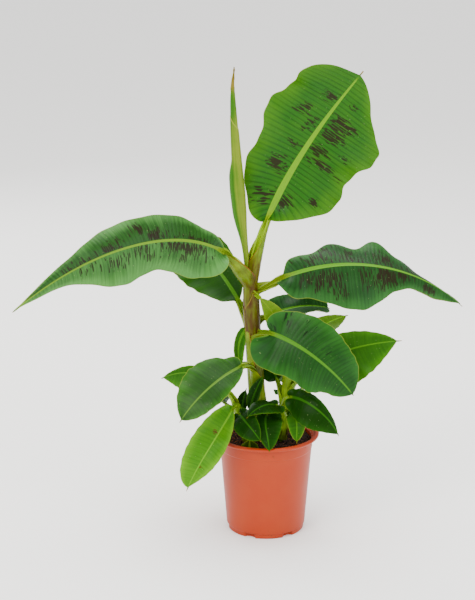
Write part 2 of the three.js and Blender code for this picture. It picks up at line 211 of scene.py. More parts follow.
def mesh_piece(
    name: str,
    rings: np.ndarray,
    material: Material,
    marks: dict[str, np.ndarray] | None = None,
    chart: np.ndarray | None = None,
) -> Piece:
    """Make one closed mesh from rings of points.

    Args:
        name: the object's name.
        rings: places in millimetres, by ring, by point and by axis.
        material: the finish of the whole piece.
        marks: numbers for each point that the material reads by name.
        chart: the piece's UV map, in metres along and across it.

    Returns:
        The new object, linked to the scene.
    """
    faces = skin(rings)
    mesh = bpy.data.meshes.new(name)
    mesh.vertices.add(rings.shape[0] * rings.shape[1])
    mesh.vertices.foreach_set("co", (rings * MM).ravel())
    mesh.loops.add(faces.size)
    mesh.loops.foreach_set("vertex_index", faces.ravel())
    mesh.polygons.add(len(faces))
    mesh.polygons.foreach_set("loop_start", np.arange(0, faces.size, 4))
    for mark, values in (marks or {}).items():
        kind, field = ("FLOAT_VECTOR", "vector") if values.ndim == 3 else ("FLOAT", "value")
        mesh.attributes.new(mark, kind, "POINT").data.foreach_set(field, values.ravel())
    if chart is not None:
        corners = chart.reshape(-1, 2)[faces.ravel()]
        mesh.uv_layers.new(name="UVMap").uv.foreach_set("vector", corners.ravel())
    mesh.update(calc_edges=True)
    mesh.validate()
    mesh.shade_smooth()
    mesh.set_sharp_from_angle(angle=math.radians(55))
    mesh.materials.append(material)
    return add(name, mesh)


def geometry_tree(name: str, inputs: dict[str, str], output: str) -> tuple[Tree, bpy.types.NodeOutputs]:
    """Start a tree of geometry nodes.

    Args:
        name: the tree's name.
        inputs: the kind of socket for each input's name.
        output: the name of the geometry that comes out.

    Returns:
        The tree, and its inputs by name.
    """
    tree = bpy.data.node_groups.new(name, "GeometryNodeTree")
    for label, kind in inputs.items():
        tree.interface.new_socket(name=label, in_out="INPUT", socket_type="NodeSocket" + kind)
    tree.interface.new_socket(name=output, in_out="OUTPUT", socket_type="NodeSocketGeometry")
    return tree, node(tree, "NodeGroupInput").outputs


def grow(piece: Piece, tree: Tree, inputs: dict[str, object]) -> None:
    """Run a geometry tree on a piece and keep the result as its plain mesh.

    Args:
        piece: the object, whose own mesh goes in.
        tree: the tree.
        inputs: the value of each named input.
    """
    modifier = piece.modifiers.new(tree.name, "NODES")
    modifier.node_group = tree
    for item in tree.interface.items_tree:
        if item.in_out == "INPUT" and item.name in inputs:
            modifier[item.identifier] = inputs[item.name]
    bpy.context.view_layer.update()
    graph = bpy.context.evaluated_depsgraph_get()
    made = bpy.data.meshes.new_from_object(piece.evaluated_get(graph), depsgraph=graph)
    piece.modifiers.clear()
    piece.data = made


def settle(piece: Piece, slot: str, *nodes: str) -> None:
    """Tie a finished piece to the plant.

    Args:
        piece: the finished object.
        slot: the record's material slot; not used.
        nodes: the solids that it stands for.
    """
    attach(piece, "root")
    if nodes:
        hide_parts(*nodes)
    LOG.info("%s: %d faces", piece.name, len(piece.data.polygons))


# Finishes


class Tone(Enum):
    """How old a blade is, how much light comes through it and how much shade falls on it, which sets its
    greens.
    """

    LIT = "mature_blade_lit_through"
    # The pale mint of its verge is partly the blade's own bluish green and partly a painted sheen.
    WAXY = "mature_blade_waxy_with_painted_sheen"
    # Its own bluish green, darkened with painted shade.
    BLUISH_IN_SHADE = "mature_blade_bluish_green_in_shade"
    # Its own dark green, darkened further with painted shade.
    DARK = "mature_blade_dark_green_in_shade"
    DULL = "mature_blade_olive_green"
    # Its own bright young green, made brighter and warmer by painted light that comes through the blade.
    BRIGHT_LIT_THROUGH = "young_blade_lit_through"
    YOUNG = "young_blade_mid_green"
    RIPE = "mature_blade_mid_green"
    FRESH = "unfolding_blade"
    # Its own deep green for inner blades, darkened further with painted shade.
    DEEP_IN_SHADE = "inner_blade_deep_green_in_shade"
    SHOOT = "shoot_blade"


class Age(Enum):
    """How far a sheath has aged, which sets its greens and the colour of its margin."""

    RED_EDGED = "banana_leaf_sheath_red_edged"
    OLD = "banana_leaf_sheath_old"
    YOUNG = "banana_leaf_sheath_green"


def overlay(tree: Tree, ground: str, layers: tuple[tuple[object, str], ...]) -> bpy.types.NodeSocket:
    """Lay colours over each other.

    Args:
        tree: the material's tree.
        ground: the lowest colour, in sRGB hex.
        layers: from the lowest up, what is 1 where a colour shows, and the colour.

    Returns:
        The output that gives the colour.
    """
    colour: object = linear(ground)
    for mask, above in layers:
        mix = node(tree, "ShaderNodeMix", {0: mask, 6: colour, 7: linear(above)}, data_type="RGBA")
        colour = mix.outputs[2]
    return colour


@dataclass(frozen=True)
class BladeFinish:
    """Banana leaf blade: a waxy cuticle over parallel veins, satin above and dull and paler below.

    Colours are sRGB hex, and lengths are in millimetres. `line` is how strongly the veins show.
    """

    name: str
    heart: str
    verge: str
    rib: str
    stalk: str
    under: str
    blotch: str = "1d1408"
    margin: str = "6c7c1c"
    line: float = 0.3
    vein: float = 7.0
    roughness: float = 0.42
    coat: float = 0.02
    shine: float = 0.1

    def material(self) -> Material:
        """Build the material.

        Returns:
            A material that reads the leaf's own UV map and marks.
        """
        made, tree, shader = start_material(self.name)
        chart = node(tree, "ShaderNodeUVMap", uv_map="UVMap")
        mark = {
            name: node(tree, "ShaderNodeAttribute", attribute_name=name).outputs["Fac"]
            for name in ("tone", "blotch", "rib", "stalk", "margin", "under", "brown")
        }
        # Side veins run out from the midrib, `vein` apart, as narrow dark lines: partly the veins' own darker
        # green and partly painted shade of the grooves along the veins. Three finer ones lie
        # between each two and only show in the relief, which is smooth on the midrib.
        along = node(tree, "ShaderNodeSeparateXYZ", {0: chart})
        turns = 2 * math.pi / (self.vein * MM)
        phase = node(tree, "ShaderNodeMath", {0: along, 1: turns}, operation="MULTIPLY")
        wave = node(tree, "ShaderNodeMath", {0: phase}, operation="COSINE")
        lines = node(tree, "ShaderNodeMapRange", {0: wave, 1: 0.3, 2: 1.0, 3: 0.0, 4: self.line})
        fine = node(tree, "ShaderNodeMath", {0: phase, 1: 4.0}, operation="MULTIPLY")
        fine_wave = node(tree, "ShaderNodeMath", {0: fine}, operation="COSINE")
        # The blade is a cooler, darker green in the middle, warmer and lighter towards its margin, with
        # cloudy patches a few centimetres across and streaks along the veins.
        cloud = node(tree, "ShaderNodeTexNoise", {"Vector": chart, "Scale": 22.0, "Detail": 2.0})
        drawn = node(tree, "ShaderNodeMapping", {"Vector": chart, "Scale": (240.0, 14.0, 1.0)})
        streak = node(tree, "ShaderNodeTexNoise", {"Vector": drawn, "Scale": 1.0, "Detail": 2.0})
        patch = node(tree, "ShaderNodeMath", {0: cloud, 1: 1.2, 2: mark["tone"]}, operation="MULTIPLY_ADD")
        drift = node(tree, "ShaderNodeMath", {0: streak, 1: 0.9, 2: patch}, operation="MULTIPLY_ADD")
        tone = node(tree, "ShaderNodeMath", {0: drift, 1: 1.0}, operation="SUBTRACT", use_clamp=True)
        inward = node(tree, "ShaderNodeMapRange", {0: tone, 3: 1.1, 4: 0.3})
        faint = node(tree, "ShaderNodeMath", {0: lines, 1: streak}, operation="MULTIPLY")
        vein_lines_and_shade = node(tree, "ShaderNodeMath", {0: faint, 1: inward}, operation="MULTIPLY")
        # Maroon blotches are dashes that lie between the veins, about 2 mm wide and 12 mm long. Each is a
        # cell of a stretched cell pattern, and `blotch` is the share of the cells that are dark there. The
        # dashes leave gaps half a vein's pitch apart.
        bend = node(tree, "ShaderNodeTexNoise", {"Vector": chart, "Scale": 80.0, "Detail": 1.0})
        stretch = node(tree, "ShaderNodeMapping", {"Vector": chart, "Scale": (430.0, 80.0, 1.0)})
        bent = node(tree, "ShaderNodeVectorMath", {
            0: bend.outputs["Color"], 1: (1.2, 1.2, 0.0), 2: stretch}, operation="MULTIPLY_ADD")
        cell = node(tree, "ShaderNodeTexVoronoi", {"Vector": bent, "Scale": 1.0}, voronoi_dimensions="2D")
        pick = node(tree, "ShaderNodeSeparateColor", {0: cell.outputs["Color"]})
        double = node(tree, "ShaderNodeMath", {0: phase, 1: 2.0}, operation="MULTIPLY")
        between = node(tree, "ShaderNodeMath", {0: double}, operation="COSINE")
        gap = node(tree, "ShaderNodeMapRange", {0: between, 1: 0.2, 2: 1.0, 3: 0.0, 4: 0.5})
        kept = node(tree, "ShaderNodeMath", {0: mark["blotch"], 1: gap}, operation="SUBTRACT")
        share = node(tree, "ShaderNodeMath", {0: kept, 1: pick}, operation="SUBTRACT")
        spot = node(tree, "ShaderNodeMapRange", {0: share, 1: 0.0, 2: 0.06, 3: 0.0, 4: 0.92})
        # Pale flecks about a millimetre across are scratches and dried drops.
        fleck = node(tree, "ShaderNodeTexNoise", {"Vector": chart, "Scale": 420.0, "Detail": 0.0})
        flecked = node(tree, "ShaderNodeMapRange", {0: fleck, 1: 0.8, 2: 0.86, 3: 0.0, 4: 0.5})
        layers = (
            (tone, self.verge),
            # Dark vein lines: the veins' own darker green with painted groove shade.
            (vein_lines_and_shade, "0c2406"),
            (spot, self.blotch),
            (flecked, "7c8a58"),
            (mark["under"], self.under),
            (mark["rib"], self.rib),
            (mark["stalk"], self.stalk),
            (mark["margin"], self.margin),
            (mark["brown"], "7c6420"),
        )
        grain = node(tree, "ShaderNodeTexNoise", {"Vector": chart, "Scale": 400.0, "Detail": 3.0})
        ridged = node(tree, "ShaderNodeMapRange", {0: mark["rib"], 3: 0.5, 4: 0.0})
        height = node(tree, "ShaderNodeMath", {0: fine_wave, 1: ridged, 2: grain}, operation="MULTIPLY_ADD")
        bump = node(tree, "ShaderNodeBump", {"Strength": 0.3, "Distance": 0.2 * MM, "Height": height})
        gloss = node(tree, "ShaderNodeMapRange", {
            0: streak, 1: 0.3, 2: 0.7, 3: self.roughness - 0.08, 4: self.roughness + 0.1})
        feed(shader, {"Base Color": overlay(tree, self.heart, layers), "Normal": bump, "Roughness": gloss,
                      "Specular IOR Level": self.shine, "Coat Weight": self.coat, "Coat Roughness": 0.3})
        return made


@dataclass(frozen=True)
class SheathFinish:
    """Leaf sheath of a banana: satin skin over long fibres, green above and drying to maroon brown below.

    Colours are sRGB hex. The pale `inner` green on the inside is painted light that gets into the open
    channel.
    """

    name: str
    green: str
    pale: str
    stain: str
    streak: str
    margin: str = "6a2c10"
    inner: str = "8ca41c"

    def material(self) -> Material:
        """Build the material.

        Returns:
            A material that reads the place on the unbent sheath and the sheath's marks.
        """
        made, tree, shader = start_material(self.name)
        mark = {name: node(tree, "ShaderNodeAttribute", attribute_name=name)
                for name in ("straight", "stain", "margin", "inside")}
        place = mark["straight"].outputs["Vector"]
        # Lighter and darker greens wander over a few centimetres.
        cloud = node(tree, "ShaderNodeTexNoise", {"Vector": place, "Scale": 40.0, "Detail": 3.0})
        light = node(tree, "ShaderNodeMapRange", {0: cloud, 1: 0.38, 2: 0.66})
        # Stains are blotches just under a centimetre wide, drawn out along the fibres.
        drawn = node(tree, "ShaderNodeMapping", {"Vector": place, "Scale": (120.0, 120.0, 34.0)})
        blot = node(tree, "ShaderNodeTexNoise", {"Vector": drawn, "Scale": 1.0, "Detail": 3.0})
        level = node(tree, "ShaderNodeMath", {0: blot, 1: mark["stain"].outputs["Fac"]}, operation="ADD")
        aged = node(tree, "ShaderNodeMapRange", {0: level, 1: 0.68, 2: 1.2})
        # Fibres are about 2 mm apart.
        stretch = node(tree, "ShaderNodeMapping", {"Vector": place, "Scale": (420.0, 420.0, 14.0)})
        fibre = node(tree, "ShaderNodeTexNoise", {"Vector": stretch, "Scale": 1.0, "Detail": 3.0})
        lines = node(tree, "ShaderNodeMapRange", {0: fibre, 1: 0.5, 2: 0.72, 3: 0.0, 4: 0.5})
        layers = (
            (light, self.pale),
            (aged, self.stain),
            (lines, self.streak),
            (mark["margin"].outputs["Fac"], self.margin),
            # Painted light: the inside is made paler, as light that gets into the open channel.
            (mark["inside"].outputs["Fac"], self.inner),
        )
        bump = node(tree, "ShaderNodeBump", {"Strength": 0.4, "Distance": 0.4 * MM, "Height": fibre})
        feed(shader, {"Base Color": overlay(tree, self.green, layers), "Normal": bump, "Roughness": 0.38,
                      "Specular IOR Level": 0.15})
        return made


@dataclass(frozen=True)
class PotFinish:
    """Moulded polypropylene: terracotta-coloured, satin from the mould, with a little dust of soil."""

    colour: str = "972d07"
    worn: str = "9c3a14"
    dust: str = "4a2a18"

    def material(self) -> Material:
        """Build the material.

        Returns:
            A material on object coordinates.
        """
        made, tree, shader = start_material("moulded_polypropylene_terracotta")
        place = node(tree, "ShaderNodeTexCoord").outputs["Object"]
        cloud = node(tree, "ShaderNodeTexNoise", {"Vector": place, "Scale": 28.0, "Detail": 4.0})
        # Scuffs are about a centimetre long and lie round the pot.
        stretch = node(tree, "ShaderNodeMapping", {"Vector": place, "Scale": (90.0, 90.0, 420.0)})
        scuff = node(tree, "ShaderNodeTexNoise", {"Vector": stretch, "Scale": 1.0, "Detail": 2.0})
        faint = node(tree, "ShaderNodeMapRange", {0: scuff, 1: 0.6, 2: 0.75, 3: 0.0, 4: 0.25})
        pale = node(tree, "ShaderNodeMapRange", {0: cloud, 1: 0.4, 2: 0.75, 3: 0.0, 4: 0.4})
        worn = node(tree, "ShaderNodeMath", {0: faint, 1: pale}, operation="MAXIMUM")
        # Specks of soil, about a millimetre across, are strewn over the wall and thicker at the foot.
        split = node(tree, "ShaderNodeSeparateXYZ", {0: place})
        low = node(tree, "ShaderNodeMapRange", {0: split.outputs[2], 1: 0.02, 2: 0.004, 3: 0.0, 4: 0.12})
        speck = node(tree, "ShaderNodeTexNoise", {"Vector": place, "Scale": 330.0, "Detail": 1.0})
        grime = node(tree, "ShaderNodeMath", {0: speck, 1: low}, operation="ADD")
        dusty = node(tree, "ShaderNodeMapRange", {0: grime, 1: 0.74, 2: 0.8, 3: 0.0, 4: 0.7})
        layers = ((worn, self.worn), (dusty, self.dust))
        gloss = node(tree, "ShaderNodeMapRange", {0: cloud, 1: 0.3, 2: 0.7, 3: 0.36, 4: 0.46})
        fine = node(tree, "ShaderNodeTexNoise", {"Vector": place, "Scale": 900.0, "Detail": 2.0})
        bump = node(tree, "ShaderNodeBump", {"Strength": 0.15, "Distance": 0.1 * MM, "Height": fine})
        feed(shader, {"Base Color": overlay(tree, self.colour, layers), "Normal": bump, "Roughness": gloss,
                      "Specular IOR Level": 0.22})
        return made


@dataclass(frozen=True)
class PeatFinish:
    """Moist peat: dull, dark and crumbly, or its pale fibres."""

    name: str
    dark: str
    light: str

    def material(self) -> Material:
        """Build the material.

        Returns:
            A material on object coordinates.
        """
        made, tree, shader = start_material(self.name)
        place = node(tree, "ShaderNodeTexCoord").outputs["Object"]
        # Crumbs are about 4 mm across.
        grain = node(tree, "ShaderNodeTexNoise", {"Vector": place, "Scale": 240.0, "Detail": 4.0})
        pale = node(tree, "ShaderNodeMapRange", {0: grain, 1: 0.4, 2: 0.7})
        bump = node(tree, "ShaderNodeBump", {"Strength": 0.8, "Distance": 1 * MM, "Height": grain})
        feed(shader, {"Base Color": overlay(tree, self.dark, ((pale, self.light),)), "Normal": bump,
                      "Roughness": 0.92})
        return made


# Stems


@dataclass(frozen=True)
class StemShape:
    """A stem that stands on the soil.

    `lean` is its sideways run for each millimetre of height, and `girth` lists its radius at even steps.
    """

    node: str
    foot: Pair
    top: float
    lean: Pair
    girth: tuple[float, ...]

    def centre(self, z: np.ndarray) -> np.ndarray:
        """Follow the middle of the stem.

        Args:
            z: heights in millimetres.

        Returns:
            The places of the middle at those heights.
        """
        z = np.asarray(z, dtype=float)
        rise = z - SOIL_TOP
        return np.stack([self.foot[0] + self.lean[0] * rise, self.foot[1] + self.lean[1] * rise, z], axis=-1)

    def radius(self, z: np.ndarray) -> np.ndarray:
        """Give the stem's radius at the heights z."""
        steps = np.linspace(SOIL_TOP + GAP, self.top, len(self.girth))
        return np.interp(z, steps, self.girth)


STEMS = {
    "main": StemShape("pseudostem", (-11, 0), 478, (-0.064, 0), (16, 14, 13, 13, 14.5, 11.5)),
    "left": StemShape("left_sucker", (-33, -10), 248, (-0.28, -0.15), (8.5, 7.5, 6.5)),
    "right": StemShape("right_sucker", (28, -6), 282, (0.09, 0.06), (9, 8.5, 9, 8)),
}


@dataclass
class Stems:
    """The cores of the pseudostem and the two suckers, which the leaf sheaths wrap.

    A core is `slim` under its stem's radius, and `tip_slim` more at the top of its last stretch `tip`.
    """

    slim: float = 1.2
    tip_slim: float = 4.0
    tip: float = 50.0
    sides: int = 56
    step: float = 2.5
    fibre_depth: float = 0.5
    fibre_width: float = 5.0

    def fibres(self) -> Tree:
        """Make the tree that turns a stem's line into its fibrous core.

        Returns:
            A tree whose inputs are the sides, the fibres' depth and width in metres, and the material.
        """
        tree, given = geometry_tree("stem_core", {
            "Line": "Geometry", "Sides": "Int", "Fibre depth": "Float", "Fibre width": "Float",
            "Skin": "Material"}, "Core")
        ring = node(tree, "GeometryNodeCurvePrimitiveCircle", {"Resolution": given["Sides"], "Radius": 1.0})
        thick = node(tree, "GeometryNodeInputNamedAttribute", {"Name": "girth"})
        line = node(tree, "GeometryNodeMeshToCurve", {"Mesh": given["Line"]})
        tube = node(tree, "GeometryNodeCurveToMesh", {
            "Curve": line, "Profile Curve": ring, "Scale": thick, "Fill Caps": True})
        place = node(tree, "GeometryNodeInputPosition")
        pitch = node(tree, "ShaderNodeMath", {0: 1.0, 1: given["Fibre width"]}, operation="DIVIDE")
        along = node(tree, "ShaderNodeVectorMath", {0: place, 1: (1.0, 1.0, 0.05)}, operation="MULTIPLY")
        wide = node(tree, "ShaderNodeVectorMath", {0: along, "Scale": pitch}, operation="SCALE")
        noise = node(tree, "ShaderNodeTexNoise", {"Vector": wide, "Scale": 1.0, "Detail": 2.0})
        level = node(tree, "ShaderNodeMath", {0: noise, 1: 0.5}, operation="SUBTRACT")
        lift = node(tree, "ShaderNodeMath", {0: level, 1: given["Fibre depth"]}, operation="MULTIPLY")
        normal = node(tree, "GeometryNodeInputNormal")
        move = node(tree, "ShaderNodeVectorMath", {0: normal, "Scale": lift}, operation="SCALE")
        shaped = node(tree, "GeometryNodeSetPosition", {"Geometry": tube, "Offset": move})
        soft = node(tree, "GeometryNodeSetShadeSmooth", {"Geometry": shaped})
        placed = node(tree, "GeometryNodeStoreNamedAttribute", {
            "Geometry": soft, "Name": "straight", "Value": place}, data_type="FLOAT_VECTOR")
        solid = node(tree, "GeometryNodeRealizeInstances", {"Geometry": placed})
        dressed = node(tree, "GeometryNodeSetMaterial", {"Geometry": solid, "Material": given["Skin"]})
        node(tree, "NodeGroupOutput", {"Core": dressed})
        return tree

    def core(self, shape: StemShape, tree: Tree, material: Material) -> Piece:
        """Make one stem's core from its middle line.

        Args:
            shape: the stem.
            tree: the tree from `fibres`.
            material: the stem's finish.

        Returns:
            The core as a plain mesh.
        """
        z = np.arange(SOIL_TOP - 4, shape.top + self.step, self.step)
        z[-1] = shape.top
        mesh = bpy.data.meshes.new(shape.node)
        centres = shape.centre(z) * MM
        mesh.from_pydata(centres.tolist(), [(i, i + 1) for i in range(len(z) - 1)], [])
        girth = mesh.attributes.new("girth", "FLOAT", "POINT")
        slim = self.slim + self.tip_slim * smooth(z, shape.top - self.tip, shape.top)
        girth.data.foreach_set("value", (shape.radius(z) - slim) * MM)
        piece = add(shape.node + "_core", mesh)
        grow(piece, tree, {"Sides": self.sides, "Fibre depth": self.fibre_depth * MM * 2,
                           "Fibre width": self.fibre_width * MM, "Skin": material})
        return piece

    def build(self) -> None:
        """Build the cores of the three stems."""
        material = SheathFinish("banana_leaf_sheath_core", "3a4a06", "485c06", "2a1c06", "2a2a06").material()
        tree = self.fibres()
        for shape in STEMS.values():
            settle(self.core(shape, tree, material), "stem", shape.node)


# Leaves


@dataclass(frozen=True)
class LeafShape:
    """One leaf, by the same rule and sizes as its solid.

    The rib sets off from the stem at the height `foot` at the compass `heading` and the angle `rise` above
    level, and bends to `fall` at the tip; `ease` below 1 bends early and `swing` turns the heading on the
    way. Pairs are (left side, right side), seen along the rib with the upper side up. `width` is each
    half's greatest reach, `base` and `point` shape its ends, `scallop`, `lobes` and `shift` wave the
    outline, `ruffle`, `waves` and `phase` wave the margin up and down, `fold` and `curl` lift it, in
    degrees at the base and the tip, and `facing` is where the upper side looks at the base and the tip.
    Each of the `blotches` is (side, place along the blade, place across it, run along, run across,
    strength), as shares of the blade's length and of the half blade's reach. `drip` is the length of
    the thin dry tip, `neck` how much the solid's stalk is widened where the blade begins, `midrib` how much
    of that width the midrib keeps, and `painted_sheen_and_shade` paints light on each half: above 0 it makes
    the half paler as a painted sheen, and below 0 darker as painted shade. `aside` moves the foot, and
    `auricle` and
    `sweep` are how far the side veins lean forward at the base, in the middle and at the tip.
    """

    node: str
    stem: str | None
    foot: float
    heading: float
    rise: float
    fall: float
    petiole: float
    blade: float
    stalk: Pair
    facing: tuple[tuple[float, float, float], tuple[float, float, float]]
    width: Pair
    aside: Pair = (0, 0)
    swing: float = 0
    ease: float = 1
    base: Pair = (0.45, 0.45)
    point: Pair = (0.7, 0.7)
    scallop: Pair = (0, 0)
    lobes: Pair = (2, 2)
    shift: Pair = (0, 0)
    ruffle: Pair = (0, 0)
    waves: Pair = (2, 2)
    phase: Pair = (0, 0)
    fold: tuple[Pair, Pair] = ((8, 8), (8, 8))
    curl: tuple[Pair, Pair] = ((0, 0), (0, 0))
    auricle: float = -40
    sweep: Pair = (10, 15)
    tone: Tone = Tone.DEEP_IN_SHADE
    blotches: tuple[tuple[float, ...], ...] = ()
    drip: float = 4
    neck: float = 1.15
    midrib: float = 0.65
    painted_sheen_and_shade: Pair = (0, 0)

    def stalk_width(self, s: np.ndarray | float) -> np.ndarray:
        """Give the stalk's width at the distance s along the rib."""
        return self.stalk[0] + (self.stalk[1] * self.neck - self.stalk[0]) * np.minimum(1, s / self.petiole)


